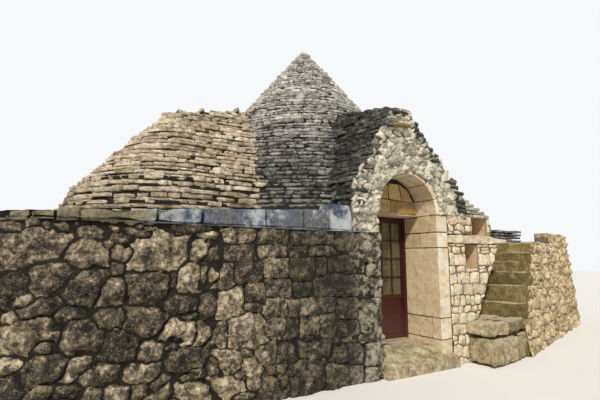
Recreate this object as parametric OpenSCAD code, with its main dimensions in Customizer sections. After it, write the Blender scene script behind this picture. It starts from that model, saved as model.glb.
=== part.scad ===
// Trullo house: dry stone walls, corbelled cone roof, gabled entrance and outside stair.
// Millimetres. The axis of the main cone stands on the origin, the entrance faces -Y,
// and Z = 0 is the lowest ground that the walls meet.

/* [Main room] */
// Inside width and depth of the square main room
room_w = 3900; // [3800:10:4000]
// Thickness of the main walls
wall_t = 1050; // [1000:10:1100]
// Height of the main walls, where the cone starts
eaves_z = 2290; // [2280:5:2320]
// Height of the floor above the lowest ground
floor_z = 340; // [320:10:360]
// Radius of the rounded corners of the outer walls
corner_r = 700; // [300:10:900]

/* [Main cone] */
// Distance of the cone's foot from the wall faces
cone_setback = 50; // [50:5:100]
// Height of the cone's blunt tip
cone_tip_z = 6080; // [5800:10:6400]
// Radius of the blunt tip
cone_tip_r = 85; // [80:5:120]
// How far the cone's side bulges beyond a straight line
cone_bulge = 80; // [40:5:120]
// Number of outer courses, each hanging over the one below
cone_courses = 20; // [12:1:24]
// Overhang of each outer course
course_lap = 25; // [10:1:35]
// Height of the top of the inner dome
dome_top_z = 5350; // [5000:10:5400]
// Number of corbelled rings inside the dome
dome_rings = 12; // [8:1:16]
// Height of the capstone on the tip
capstone_h = 70; // [40:5:120]
// Radius of the capstone
capstone_r = 70; // [50:5:80]

/* [Alcove and its roof] */
// Distance of the alcove roof's axis to the left of the cone's axis
alcove_x = 2900; // [2850:10:2950]
// Distance of the alcove roof's axis in front of the cone's axis
alcove_y = 540; // [500:10:580]
// Outer radius of the alcove roof at its foot
alcove_roof_r = 1720; // [1650:10:1760]
// Height of the alcove roof's top over the alcove's axis
alcove_top_z = 4070; // [3950:10:4150]
// Upward slope of the alcove roof's ridge towards the main cone, in degrees
alcove_tilt = 13.5; // [12:0.5:14.5]
// Number of level courses of the alcove roof up to its round end's top
alcove_courses = 16; // [8:1:20]
// Height of the alcove's walls
alcove_eaves_z = 2100; // [2080:10:2140]
// Width of the alcove
alcove_w = 1740; // [1600:10:1800]
// Rise of the dome over the alcove
alcove_dome_h = 1050; // [900:10:1100]
// Thickness of the wall on the alcove's left
alcove_wall_t = 1420; // [1350:10:1500]
// Thickness of the wall behind the alcove
alcove_back_t = 950; // [850:10:1050]
// Height at which the alcove's arch springs
alcove_spring_z = 1270; // [1200:10:1300]

/* [Front wall] */
// Height of the front wall under its cornice
front_top_z = 1970; // [1940:10:2000]
// Depth of the cornice stones
cornice_d = 250; // [200:5:255]
// Top of the cornice at the left end of the house
cornice_low_z = 2030; // [2020:5:2080]
// Top of the cornice beside the gable
cornice_high_z = 2280; // [2240:5:2280]
// Width of the cornice's raised end block beside the gable
end_block_w = 370; // [250:10:450]
// Rise of the end block over the cornice
end_block_h = 60; // [20:5:80]

/* [Entrance] */
// Clear width of the doorway
door_w = 1178; // [1150:2:1190]
// Depth of the porch before the door frame
porch_d = 680; // [650:5:720]
// Depth of the arch before the tympanum
tympanum_d = 390; // [350:5:420]
// Thickness of the arch stones
arch_t = 130; // [110:5:200]
// Number of arch stones
arch_stones = 7; // [5:2:11]
// Open joint between arch stones
stone_joint = 4; // [2:1:10]
// Width of the dressed piers beside the doorway
pier_w = 250; // [220:5:270]
// Height of the lintel block over the door
lintel_h = 230; // [180:10:280]
// Height of the porch paving where its worn inner part ends
paving_mid_z = 300; // [280:5:310]
// Height of the porch paving at the foot of the gable
paving_front_z = 190; // [160:5:200]
// How far the paving stands out from the gable
apron_d = 120; // [60:10:200]

/* [Gable and porch roof] */
// Thickness of the gable wall
gable_t = 400; // [380:10:420]
// Upward slope of the porch ridge towards the cone, in degrees
ridge_tilt = 12; // [8:0.5:14]

/* [Niche wall] */
// Distance of the niche wall's foot from the room's right side
niche_inset = 490; // [460:10:520]
// How far the niche wall's end leans to the right, up to the long slab
niche_lean = 640; // [560:10:700]
// Length of the pointed end of the long slab
slab_tip = 290; // [150:10:320]
// Left side of the lower niche
low_niche_x = 1231; // [1200:1:1260]
// Width of the lower niche
low_niche_w = 340; // [280:5:350]
// Bottom of the lower niche
low_niche_z = 1450; // [1400:10:1500]
// Left side of the upper niche
high_niche_x = 1441; // [1400:1:1460]
// Width of the upper niche
high_niche_w = 400; // [300:5:420]
// Width of the stones at the right of the upper niche
high_jamb_w = 70; // [50:5:100]
// Depth of both niches
niche_d = 320; // [250:5:325]
// Thickness of the long slab between the niches
niche_slab_t = 170; // [140:5:200]
// Top of the long slab between the niches
niche_slab_z = 2010; // [1980:10:2040]
// Number of small roof courses on the niche wall
niche_courses = 5; // [3:1:7]

/* [Stair and terrace] */
// Angle of the stair and its wall from the front wall, in degrees
stair_turn = 17.5; // [16:0.5:19]
// Width of the stair
stair_w = 800; // [780:5:820]
// Going of one step
going = 222; // [210:1:235]
// Rises of the hand-laid steps, from the landing up
rises = [220, 280, 230, 190, 160, 200];
// Height of the landing
landing_z = 660; // [620:10:680]
// How far the landing stands out from the front wall
landing_out = 520; // [480:10:560]
// Width of the landing's front edge, left and right of the niche wall's foot
landing_sides = [350, 620];
// How far the landing's front edge runs back towards the right
landing_skew = 130; // [100:5:160]
// Thickness of the landing's top slabs
landing_slab_t = 230; // [180:10:280]
// Distance from the landing's corner to the first step
first_step = 260; // [240:5:300]
// Inward lean of the stair wall for each unit of height
batter = 0.08; // [0.04:0.01:0.1]
// Length of the stair wall from the landing's corner
stair_wall_l = 5200; // [4800:10:5400]
// Thickness of the stair wall
stair_wall_t = 450; // [400:10:500]
// Distance of the terrace's back edge in front of the cone's axis
terrace_back = 900; // [700:10:950]
// Thickness of the terrace paving
paving_t = 80; // [60:5:120]
// Length of the parapet
parapet_l = 1950; // [1600:10:2200]
// Height of the parapet above the terrace
parapet_h = 250; // [180:10:300]
// Length of the low wall along the terrace's back
kerb_l = 2700; // [2300:10:3000]
// Thickness of the low wall
kerb_t = 400; // [300:10:420]
// Height of the low wall above the terrace
kerb_h = 380; // [250:10:450]

/* [Door] */
// Width of the frame's posts and head
frame_w = 45; // [40:1:60]
// Depth of the door frame
frame_d = 80; // [75:1:90]
// Overlap of the frame's front lip
lip_w = 15; // [10:1:20]
// Depth of the frame's front lip
lip_d = 20; // [15:1:25]
// Thickness of the door leaves
leaf_t = 45; // [40:1:50]
// Gap round the leaves
leaf_gap = 5; // [5:1:7]
// Gap between the two leaves, wide enough for both to swing
seam = 18; // [16:1:24]
// Width of the leaves' outer stiles and top rail
stile_w = 45; // [40:1:60]
// Width of the stiles where the leaves meet
meeting_w = 90; // [70:1:100]
// Height of the lower panel
panel_h = 560; // [500:10:620]
// Height of the lower and middle rails
rail_h = 60; // [50:5:80]
// Thickness of the wooden panel
panel_t = 18; // [12:1:25]
// Thickness of the glass
glass_t = 5; // [3:1:8]
// Width of the glazing bars
bar_w = 18; // [14:1:24]
// Columns of panes in each leaf
pane_columns = 2; // [1:1:3]
// Rows of panes
pane_rows = 4; // [3:1:5]
// Radius of the hinge pins
pin_r = 6; // [5:0.5:7]
// Clearance of the hinge pins
pin_gap = 0.3; // [0.3:0.1:0.5]
// Length of the hinge pins
pin_h = 60; // [50:5:70]

/* [Hidden] */
$fn = 240;
eps = 1;
// Clearance where two pieces meet on a curved or turned face
fit = 0.8;
room = room_w / 2;
outer = room + wall_t;
half_door = door_w / 2;
pier_x = half_door + pier_w;
arch_r = half_door + arch_t;
door_y = -outer + porch_d;
gable_back = -outer + gable_t;

// Edges of the gable from the eaves up: distance from the door's centre, height over the eaves
left_edge = [[1090, 0], [1090, 80], [1060, 300], [1000, 440], [890, 580], [760, 770],
    [665, 950], [580, 1100], [470, 1290], [380, 1450], [270, 1545]];
right_edge = [[1284, 0], [1284, 290], [1167, 396], [1008, 582], [895, 690], [762, 838],
    [650, 940], [520, 1070], [390, 1185], [265, 1330], [165, 1455], [60, 1560]];
gable_left = left_edge[0][0];
gable_right = right_edge[0][0];
rake_h = right_edge[1][1];
gable_z = eaves_z + right_edge[len(right_edge) - 1][1];
// Both side roofs end inside the main cone, this far from its axis
porch_ridge_end = 1000;
alcove_ridge_end = 1100;
ridge_l = outer - porch_ridge_end;
// The stone that stands out under the peak: left end, right end, foot, top, reach
peg_drop = 286;
peg_t = 70;
peg = [-400, 10, gable_z - peg_drop, gable_z - peg_drop + peg_t, 150];

cone_r = outer - cone_setback;
drum_r = cone_r + 40;
cone_h = cone_tip_z - eaves_z;
course_h = cone_h / cone_courses;
alcove_r = alcove_w / 2;
alcove_front = -alcove_y - alcove_r;
alcove_back = -alcove_y + alcove_r;
alcove_left = -alcove_x - alcove_r;
house_left = alcove_left - alcove_wall_t;
head_y = -outer + cornice_d;
alcove_ridge_l = norm([alcove_x, alcove_y]) - alcove_ridge_end;
// Powers that shape the alcove roof: roundness of its shoulder and of its flank
shoulder = 1.22;
flank = 0.95;
vent_r = 150;
// The round end stands a little proud of the ridge where the two run into each other
round_lap = 5;
// Width of the alcove roof's ridge
ridge_w = 120;
// The corbels stay clear of the open door leaves
corbel_x = 720;
corbel_step = 500;
corbel_h = 200;

niche_foot_x = room - niche_inset;
niche_end_x = niche_foot_x + niche_lean;
niche_slab_bottom = niche_slab_z - niche_slab_t;
lean = niche_lean / (niche_slab_bottom - landing_z);
high_niche_end = high_niche_x + high_niche_w + high_jamb_w;
stair_x = niche_foot_x + landing_sides[1];
stair_y = -outer - landing_out + landing_skew;
steps = len(rises);
steps_l = first_step + going * steps;
terrace_z = landing_z + total(rises, steps);
along = [cos(stair_turn), sin(stair_turn)];
inward = [-along[1], along[0]];

inside = half_door - frame_w;
leaf_half = inside - leaf_gap;
leaf_y = door_y + lip_d + leaf_gap;
leaf_back = leaf_y + leaf_t;
leaf_z = floor_z + leaf_gap;
frame_top = eaves_z;
leaf_top = frame_top - frame_w - leaf_gap;
eye_r = pin_r * 2;
eye_h = 40;
block_h = 25;
strap_t = 6;
strap_l = 90;
hinge_x = inside;
hinge_y = door_y + frame_d + leaf_gap + eye_r;
hinge_zs = [leaf_z + 220, leaf_top - 260];
panel_z = leaf_z + rail_h;
glass_z = panel_z + panel_h + rail_h;
glass_top = leaf_top - stile_w;
glass_x = meeting_w;
glass_end = leaf_half - stile_w;
pane_w = (glass_end - glass_x - bar_w * (pane_columns - 1)) / pane_columns;
pane_h = (glass_top - glass_z - bar_w * (pane_rows - 1)) / pane_rows;

pale = [0.80, 0.76, 0.66];
grey = [0.52, 0.51, 0.48];
ochre = [0.76, 0.65, 0.45];
maroon = [0.33, 0.10, 0.09];

// Sum of the first n rises
function total(list, n) = n == 0 ? 0 : list[n - 1] + total(list, n - 1);
// Top of step i
function step_z(i) = landing_z + total(rises, i);
// Outer radius of the main cone at height z
function cone_at(z) = let (t = (z - eaves_z) / cone_h)
    cone_r + (cone_tip_r - cone_r) * t + 4 * cone_bulge * t * (1 - t);
// Half width of the alcove roof at the share t of its height
function alcove_at(t) = alcove_roof_r * pow(1 - pow(t, shoulder), flank);
// Y of a line along the stair, n behind its foot line, at x
function stair_line(x, n) = stair_y + (x - stair_x) * tan(stair_turn) + n / cos(stair_turn);
// Plan point of the stair, s along it and n behind its foot line
function stair_point(s, n) = [stair_x, stair_y] + s * along + n * inward;
// Right end of the niche wall at height z
function niche_end(z) = niche_foot_x + max(0, z - landing_z) * lean;

module block(x0, y0, z0, x1, y1, z1) {
    translate([x0, y0, z0]) cube([x1 - x0, y1 - y0, z1 - z0]);
}

module rounded_block(x0, y0, x1, y1, r, h) {
    linear_extrude(h) union() {
        translate([x0 + r, y0]) square([x1 - x0 - 2 * r, y1 - y0]);
        translate([x0, y0 + r]) square([x1 - x0, y1 - y0 - 2 * r]);
        for (x = [x0 + r, x1 - r], y = [y0 + r, y1 - r]) translate([x, y]) circle(r);
    }
}

// Smooth solid that holds the main cone's courses, grown by a clearance
module cone_envelope(extra) {
    rotate_extrude() polygon(concat(
        [[0, eaves_z - extra]],
        [for (i = [0:cone_courses]) let (z = eaves_z + course_h * i) [cone_at(z) + extra, z]],
        [[0, cone_tip_z]]));
}

// Solid of the outer courses, each hanging over the one below
module cone_courses_solid() {
    rotate_extrude() polygon(concat(
        [[0, eaves_z]],
        [for (i = [0:cone_courses - 1], top = [0, 1]) let (z = eaves_z + course_h * (i + top))
            [cone_at(z) - (top == 1 && i < cone_courses - 1 ? course_lap : 0), z]],
        [[0, cone_tip_z]]));
}

// Stepped space inside the dome, one ring a course
module dome_space() {
    rise = (dome_top_z - eaves_z) / dome_rings;
    foot = room + 20;
    for (i = [0:dome_rings - 1])
        translate([0, 0, eaves_z + i * rise - (i == 0 ? eps : 0)])
            cylinder(r = foot * (1 - i / dome_rings), h = rise + (i == 0 ? eps : 0));
}

// Everything within a radius of the entrance arch's axis
module arch_space(r, y0, y1) {
    translate([0, y1, eaves_z]) rotate([90, 0, 0]) cylinder(r = r, h = y1 - y0);
}

// Everything under the cornice's sloping top, from a foot height up
module ledge(y0, y1, foot) {
    translate([0, y1, 0]) rotate([90, 0, 0]) linear_extrude(y1 - y0)
        polygon([[house_left, foot], [-gable_left, foot], [-gable_left, cornice_high_z],
            [house_left, cornice_low_z]]);
}

// Gable and porch roof in one: the gable's outline drawn back along the rising ridge,
// measured square to the ridge so that the section at the front is the drawn outline
module gable_prism(y0, y1) {
    skirt = ridge_l * tan(ridge_tilt) + eps;
    flat = cos(ridge_tilt);
    outline = concat(
        [[-gable_left, -skirt]],
        [for (p = left_edge) [-p[0], p[1] * flat]],
        [for (i = [len(right_edge) - 1:-1:0]) [right_edge[i][0], right_edge[i][1] * flat]],
        [[gable_right, -skirt]]);
    intersection() {
        translate([0, -outer, eaves_z]) rotate([90 + ridge_tilt, 0, 0])
            translate([0, 0, -ridge_l]) linear_extrude(ridge_l) polygon(outline);
        block(-outer, y0, eaves_z, outer, y1, cone_tip_z);
    }
}

// Wall layer of the niche wall, from an outline in X and Z
module front_layer(points) {
    translate([0, gable_back, 0]) rotate([90, 0, 0]) linear_extrude(gable_t) polygon(points);
}

// Battered course along the stair from s0 to s1, between two heights
module stair_course(s0, s1, z0, z1, depth) {
    translate([stair_x, stair_y, 0]) rotate([90, 0, stair_turn + 90])
        translate([0, 0, s0]) linear_extrude(s1 - s0)
            polygon([[batter * z0, z0], [depth, z0], [depth, z1], [batter * z1, z1]]);
}

module floor() {
    color(grey) union() {
        block(-room, -room, 0, room, room, floor_z);
        block(-half_door, door_y, 0, half_door, -room, floor_z);
        block(alcove_left, alcove_front, 0, -room, alcove_back, floor_z);
    }
}

module porch_paving() {
    color(pale) {
        rotate([90, 0, 90]) translate([0, 0, -half_door]) linear_extrude(door_w)
            polygon([[-outer, 0], [door_y, 0], [door_y, floor_z],
                [-outer + tympanum_d / 2, paving_mid_z], [-outer, paving_front_z]]);
        rotate([90, 0, 90]) translate([0, 0, -half_door]) linear_extrude(half_door + pier_x)
            polygon([[-outer - apron_d, 0], [-outer, 0], [-outer, paving_front_z],
                [-outer - apron_d, paving_front_z - 40]]);
    }
}

module front_wall() {
    color(grey) intersection() {
        union() {
            block(house_left, -outer, 0, -pier_x, -room, front_top_z);
            ledge(head_y, -room, 0);
            intersection() {
                cylinder(r = drum_r, h = eaves_z);
                block(-outer, head_y, 0, -gable_left, -room, eaves_z);
            }
            block(-gable_left, gable_back, 0, -pier_x, -room, eaves_z);
        }
        rounded_block(house_left, -outer, outer, outer, corner_r, eaves_z);
    }
}

module cornice() {
    color(pale) {
        intersection() {
            ledge(-outer, head_y, front_top_z);
            rounded_block(house_left, -outer, outer, outer, corner_r, eaves_z);
        }
        block(-gable_left - end_block_w, -outer, cornice_high_z - end_block_h,
            -gable_left - fit, head_y, cornice_high_z + end_block_h);
    }
}

module back_wall() {
    color(grey) intersection() {
        rounded_block(-outer, -outer, outer, outer, corner_r, eaves_z);
        block(-outer, room, 0, outer, outer, eaves_z);
    }
}

module right_wall() {
    color(grey) linear_extrude(eaves_z)
        polygon([[room, stair_line(room, stair_w + fit)],
            [outer, stair_line(outer, stair_w + fit)], [outer, room], [room, room]]);
}

// The left wall of the room, on either side of the way into the alcove
module side_walls() {
    color(grey) {
        block(-outer, -room, 0, -room, alcove_front, eaves_z);
        block(-outer, alcove_back, 0, -room, room, eaves_z);
    }
}

module alcove_walls() {
    back = alcove_back + alcove_back_t;
    color(grey) difference() {
        intersection() {
            block(house_left, -room, 0, -outer, back, alcove_eaves_z);
            rounded_block(house_left, -outer, outer, back, corner_r, alcove_eaves_z);
        }
        block(alcove_left, alcove_front, -eps, -outer + eps, alcove_back, alcove_eaves_z + eps);
    }
}

module alcove_arch() {
    color(ochre) difference() {
        block(-outer, alcove_front, alcove_spring_z, -room, alcove_back, eaves_z);
        translate([-room + eps, -alcove_y, alcove_spring_z]) rotate([0, -90, 0])
            cylinder(r = alcove_r, h = wall_t + 2 * eps);
    }
}

// Two corbelled layers in each corner turn the square room into the dome's ring
module corner_corbels() {
    color(grey) for (layer = [0, 1])
        translate([0, 0, eaves_z - (2 - layer) * corbel_h])
            linear_extrude(corbel_h + (layer == 0 ? eps : 0)) difference() {
                square(room_w, center = true);
                circle(norm([room, corbel_x + (1 - layer) * corbel_step]));
            }
}

module pier(side) {
    color(ochre) block(min(side * half_door, side * pier_x), -outer, 0,
        max(side * half_door, side * pier_x), -room, eaves_z);
}

module arch_stones() {
    turn = 180 / arch_stones;
    color(ochre) intersection() {
        difference() {
            arch_space(arch_r, -outer, door_y);
            arch_space(half_door, -outer - eps, door_y + eps);
            for (i = [0:arch_stones])
                translate([0, 0, eaves_z]) rotate([0, -i * turn, 0])
                    translate([0, -outer - eps, -stone_joint / 2])
                        cube([arch_r * 2, porch_d + 2 * eps, stone_joint]);
        }
        block(-arch_r, -outer, eaves_z, arch_r, door_y, eaves_z + arch_r);
    }
}

// Filling of the arch over the door, between two heights over the eaves
module arch_infill(h0, h1) {
    intersection() {
        arch_space(half_door - fit, -outer + tympanum_d, door_y);
        block(-half_door, -outer, eaves_z + h0, half_door, 0, eaves_z + h1);
    }
}

module lintel() {
    color(ochre) arch_infill(0, lintel_h);
}

module tympanum() {
    split = -half_door * 0.08;
    color(ochre) difference() {
        arch_infill(lintel_h, half_door);
        block(split, -outer, eaves_z, split + stone_joint, 0, eaves_z + arch_r);
    }
}

module gable_wall() {
    color(pale) difference() {
        union() {
            gable_prism(-outer, gable_back);
            block(-gable_left, -outer, front_top_z, -pier_x, gable_back, eaves_z + eps);
        }
        arch_space(arch_r + fit, -outer - eps, door_y);
    }
}

module gable_peg() {
    color(grey) block(peg[0], -outer - peg[4], peg[2], peg[1], -outer, peg[3]);
}

module porch_roof() {
    color(grey) difference() {
        gable_prism(gable_back, 0);
        cone_envelope(fit);
        arch_space(arch_r + fit, -outer, door_y);
    }
}

module main_cone() {
    color(pale) difference() {
        cone_courses_solid();
        dome_space();
        block(-gable_left, -outer - eps, eaves_z - eps, gable_right, gable_back, gable_z);
        arch_space(arch_r + fit, -outer, door_y);
    }
}

module capstone() {
    color(pale) translate([0, 0, cone_tip_z]) cylinder(r = capstone_r, h = capstone_h);
}

// Plan of the alcove roof at a height over its foot: a round end, drawn out along a ridge
// that runs along +Y and rises into the main cone
module alcove_plan(z) {
    h = alcove_top_z - alcove_eaves_z;
    n = 6;
    start = max(0, (z - h) / tan(alcove_tilt));
    along_ridge = [for (i = [0:n]) start + (alcove_ridge_l - start) * i / n];
    half = [for (s = along_ridge) max(ridge_w / 2, alcove_at(min(1,
        max(0, (z - s * tan(alcove_tilt)) / h))))];
    if (z < h - eps) circle(alcove_at(z / h) + round_lap);
    polygon(concat([for (i = [0:n]) [half[i], along_ridge[i]]],
        [for (i = [n:-1:0]) [-half[i], along_ridge[i]]]));
}

// A rounded cone over the alcove, laid in level courses that step back as they rise
module alcove_roof() {
    rise = (alcove_top_z - alcove_eaves_z) / alcove_courses;
    ridge_courses = floor(alcove_ridge_l * tan(alcove_tilt) / rise) - 1;
    color(pale) difference() {
        translate([-alcove_x, -alcove_y, alcove_eaves_z])
            rotate([0, 0, atan(alcove_y / alcove_x) - 90])
                for (i = [0:alcove_courses + ridge_courses - 1])
                    translate([0, 0, rise * i - (i == 0 ? 0 : eps)])
                        linear_extrude(rise + (i == 0 ? 0 : eps)) alcove_plan(rise * (i + 1));
        cone_envelope(fit);
        translate([-alcove_x, -alcove_y, alcove_eaves_z - eps])
            cylinder(r1 = alcove_r, r2 = vent_r, h = alcove_dome_h);
        block(-outer, -outer, 0, outer, outer, eaves_z);
        ledge(-outer, -room, 0);
    }
}

module niche_wall_core() {
    color(grey) block(pier_x, gable_back, 0, room, -room, eaves_z);
}

module niche_wall_foot() {
    color(pale) front_layer([[pier_x, 0], [niche_foot_x, 0], [niche_foot_x, landing_z],
        [niche_end(low_niche_z), low_niche_z], [pier_x, low_niche_z]]);
}

module niche_jambs() {
    color(pale) {
        difference() {
            front_layer([[pier_x, low_niche_z], [niche_end(low_niche_z), low_niche_z],
                [niche_end_x, niche_slab_bottom], [pier_x, niche_slab_bottom]]);
            block(low_niche_x, -outer - eps, low_niche_z - eps, low_niche_x + low_niche_w,
                -outer + niche_d, niche_slab_bottom + eps);
        }
        difference() {
            block(pier_x, -outer, niche_slab_z, high_niche_end, gable_back, eaves_z);
            block(high_niche_x, -outer - eps, niche_slab_z - eps, high_niche_x + high_niche_w,
                -outer + niche_d, eaves_z + eps);
        }
    }
}

// The long slab between the niches, with its pointed right end
module niche_slab() {
    color(pale) front_layer([[pier_x, niche_slab_bottom], [niche_end_x, niche_slab_bottom],
        [niche_end_x + slab_tip, niche_slab_z - niche_slab_t / 2], [high_niche_end, niche_slab_z],
        [pier_x, niche_slab_z]]);
}

module niche_roof_courses() {
    full = high_niche_end - gable_right;
    rise = rake_h / niche_courses;
    color(grey) for (i = [0:niche_courses - 1])
        block(gable_right + fit, -outer, eaves_z + i * rise - (i == 0 ? 0 : eps),
            gable_right + full * (1 - i / niche_courses), -outer + niche_d,
            eaves_z + (i + 1) * rise);
}

// Plan of the landing at the foot of the stair
module landing_plan() {
    left = niche_foot_x - landing_sides[0];
    polygon([[left, -outer - landing_out], [stair_x, stair_y],
        stair_point(first_step - fit, 0), stair_point(first_step - fit, stair_w),
        [room, stair_line(room, stair_w)], [room, gable_back], [niche_foot_x, gable_back],
        [niche_foot_x, -outer], [left, -outer]]);
}

module landing_base() {
    color(ochre) linear_extrude(landing_z - landing_slab_t) landing_plan();
}

module landing_slab() {
    color(pale) translate([0, 0, landing_z - landing_slab_t]) linear_extrude(landing_slab_t)
        landing_plan();
}

// Each step rests on the one below and runs back under the ones above
module step(i) {
    color(ochre) stair_course(first_step + going * (i - 1), steps_l,
        i == 1 ? 0 : step_z(i - 1), step_z(i), stair_w);
}

module stair_wall() {
    color(ochre) stair_course(steps_l + fit, stair_wall_l, 0, terrace_z, stair_wall_t);
}

module parapet() {
    color(ochre) stair_course(stair_wall_l - parapet_l, stair_wall_l, terrace_z,
        terrace_z + parapet_h, stair_wall_t);
}

module terrace_plan() {
    far = stair_point(stair_wall_l, stair_wall_t + fit);
    polygon([[outer, stair_line(outer, stair_w + fit)],
        stair_point(steps_l + fit, stair_w + fit),
        stair_point(steps_l + fit, stair_wall_t + fit), far, [far[0], -terrace_back],
        [outer, -terrace_back]]);
}

module terrace_fill() {
    color(ochre) linear_extrude(terrace_z - paving_t) terrace_plan();
}

module terrace_paving() {
    color(pale) translate([0, 0, terrace_z - paving_t]) linear_extrude(paving_t)
        terrace_plan();
}

module terrace_kerb() {
    color(grey) block(outer, -terrace_back - kerb_t, terrace_z, outer + kerb_l,
        -terrace_back, terrace_z + kerb_h);
}

module door_frame() {
    color(maroon) difference() {
        block(-half_door, door_y, floor_z, half_door, door_y + frame_d, frame_top);
        block(-inside, door_y + lip_d, floor_z - eps, inside, door_y + frame_d + eps,
            frame_top - frame_w);
        block(-inside + lip_w, door_y - eps, floor_z - eps, inside - lip_w,
            door_y + lip_d + eps, frame_top - frame_w - lip_w);
    }
}

// Frame half of each hinge: a block on the post, with a standing pin
module hinge_pins() {
    color("dimgray") for (side = [-1, 1], z = hinge_zs) {
        block(min(side * (hinge_x - eye_r), side * half_door), door_y + frame_d,
            z - block_h, max(side * (hinge_x - eye_r), side * half_door),
            hinge_y + eye_r, z);
        translate([side * hinge_x, hinge_y, z - eps]) cylinder(r = pin_r, h = pin_h + eps);
    }
}

// Boxes of the panes of the right leaf, between two depths
module panes(y0, y1) {
    for (c = [0:pane_columns - 1], r = [0:pane_rows - 1])
        translate([glass_x + c * (pane_w + bar_w), y0, glass_z + r * (pane_h + bar_w)])
            cube([pane_w, y1 - y0, pane_h]);
}

// The right leaf: stiles, rails, glazing bars, sunk panel and two hinge eyes
module leaf() {
    sunk = (leaf_t - panel_t) / 2;
    color(maroon) {
        difference() {
            block(seam / 2, leaf_y, leaf_z, leaf_half, leaf_back, leaf_top);
            block(glass_x, leaf_y - eps, panel_z, glass_end, leaf_y + sunk,
                panel_z + panel_h);
            block(glass_x, leaf_back - sunk, panel_z, glass_end, leaf_back + eps,
                panel_z + panel_h);
            panes(leaf_y - eps, leaf_back + eps);
        }
        for (z = hinge_zs) difference() {
            union() {
                translate([hinge_x, hinge_y, z + pin_gap]) cylinder(r = eye_r, h = eye_h);
                block(hinge_x - strap_l, leaf_back, z + pin_gap, leaf_half - eps,
                    leaf_back + strap_t, z + pin_gap + eye_h);
                block(hinge_x - strap_l / 3, leaf_back, z + pin_gap, leaf_half - eps,
                    hinge_y, z + pin_gap + eye_h);
            }
            translate([hinge_x, hinge_y, z - eps])
                cylinder(r = pin_r + pin_gap, h = eye_h + 3 * eps);
        }
    }
}

module right_leaf() {
    leaf();
}

module left_leaf() {
    mirror([1, 0, 0]) leaf();
}

module right_glass() {
    middle = leaf_y + leaf_t / 2;
    color([0.5, 0.5, 0.4, 0.6]) panes(middle - glass_t / 2, middle + glass_t / 2);
}

module left_glass() {
    mirror([1, 0, 0]) right_glass();
}

floor();
porch_paving();
front_wall();
cornice();
back_wall();
right_wall();
side_walls();
alcove_walls();
alcove_arch();
corner_corbels();
pier(-1);  // left_pier
pier(1);  // right_pier
arch_stones();
lintel();
tympanum();
gable_wall();
gable_peg();
porch_roof();
main_cone();
capstone();
alcove_roof();
niche_wall_core();
niche_wall_foot();
niche_jambs();
niche_slab();
niche_roof_courses();
landing_base();
landing_slab();
step(1);  // step_1
step(2);  // step_2
step(3);  // step_3
step(4);  // step_4
step(5);  // step_5
step(6);  // step_6
stair_wall();
parapet();
terrace_fill();
terrace_paving();
terrace_kerb();
door_frame();
hinge_pins();
right_leaf();
left_leaf();
right_glass();
left_glass();
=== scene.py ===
"""Stone by stone finish of a trullo house, laid over its fixed CAD frame."""

import itertools
import math

import bpy
import numpy as np
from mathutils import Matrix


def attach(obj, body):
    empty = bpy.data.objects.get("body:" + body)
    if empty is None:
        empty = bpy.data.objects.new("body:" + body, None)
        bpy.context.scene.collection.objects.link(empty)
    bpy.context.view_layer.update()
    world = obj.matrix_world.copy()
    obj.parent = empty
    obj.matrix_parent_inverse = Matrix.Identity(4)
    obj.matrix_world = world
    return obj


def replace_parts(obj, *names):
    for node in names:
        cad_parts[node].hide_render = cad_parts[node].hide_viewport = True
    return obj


bl_info = {
    "name": "Trullo House",
    "version": (1, 0, 0),
    "blender": (4, 5, 0),
    "location": "3D View > Sidebar > Trullo",
    "description": "Lays the stones of a trullo house over its frame",
    "category": "Add Mesh",
}

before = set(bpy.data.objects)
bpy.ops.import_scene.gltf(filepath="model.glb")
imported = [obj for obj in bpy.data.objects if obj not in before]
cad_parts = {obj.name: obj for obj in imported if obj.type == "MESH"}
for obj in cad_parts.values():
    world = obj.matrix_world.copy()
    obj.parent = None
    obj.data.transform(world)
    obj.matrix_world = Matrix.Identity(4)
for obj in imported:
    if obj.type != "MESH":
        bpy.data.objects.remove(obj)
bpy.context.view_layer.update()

# Sizes of the frame, in metres
OUTER = 3.0
ROOM = 1.95
EAVES = 2.29
HALF_DOOR = 0.589
PIER_X = 0.839
DOOR_Y = -2.32
FRONT_TOP = 1.97
CONE_R = 2.95
CONE_TIP_R = 0.085
CONE_TIP_Z = 6.08
CONE_BULGE = 0.08
ALCOVE = np.array([-2.9, -0.54])
ALCOVE_R = 1.72
ALCOVE_Z = 2.1
ALCOVE_H = 1.97
ALCOVE_SLOPE = math.tan(math.radians(13.5))
TO_CONE = -ALCOVE / np.linalg.norm(ALCOVE)
ACROSS = np.array([-TO_CONE[1], TO_CONE[0]])
HOUSE_LEFT = -5.19
ALCOVE_BACK = 1.28
CORNER_R = 0.7
LEFT_SEAM = -1.6
FRONT_HEAD_Z = 2.03
FRONT_HEAD_RISE = 0.25
FRONT_HEAD_RUN = 4.1
GABLE_SLOPE = math.tan(math.radians(12.0))
GABLE_BACK = -2.6
GABLE_H = 1.56
LEFT_EDGE = np.array([[1.09, 0.0], [1.09, 0.08], [1.06, 0.3], [1.0, 0.44], [0.89, 0.58],
                      [0.76, 0.77], [0.665, 0.95], [0.58, 1.1], [0.47, 1.29],
                      [0.38, 1.45], [0.27, 1.545]])
RIGHT_EDGE = np.array([[1.284, 0.0], [1.284, 0.29], [1.167, 0.396], [1.008, 0.582],
                       [0.895, 0.69], [0.762, 0.838], [0.65, 0.94], [0.52, 1.07],
                       [0.39, 1.185], [0.265, 1.33], [0.165, 1.455], [0.06, 1.56]])
ARCH_R = 0.719
NICHE_FOOT_X = 1.46
NICHE_END_X = 2.1
NICHE_SLAB_Z = 1.84
NICHE_ROOF_X = 1.284
LANDING_Z = 0.66
LANDING_SLAB = 0.23
STEP_TOPS = [0.88, 1.16, 1.39, 1.58, 1.74, 1.94]
FIRST_STEP = 0.26
GOING = 0.222
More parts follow.
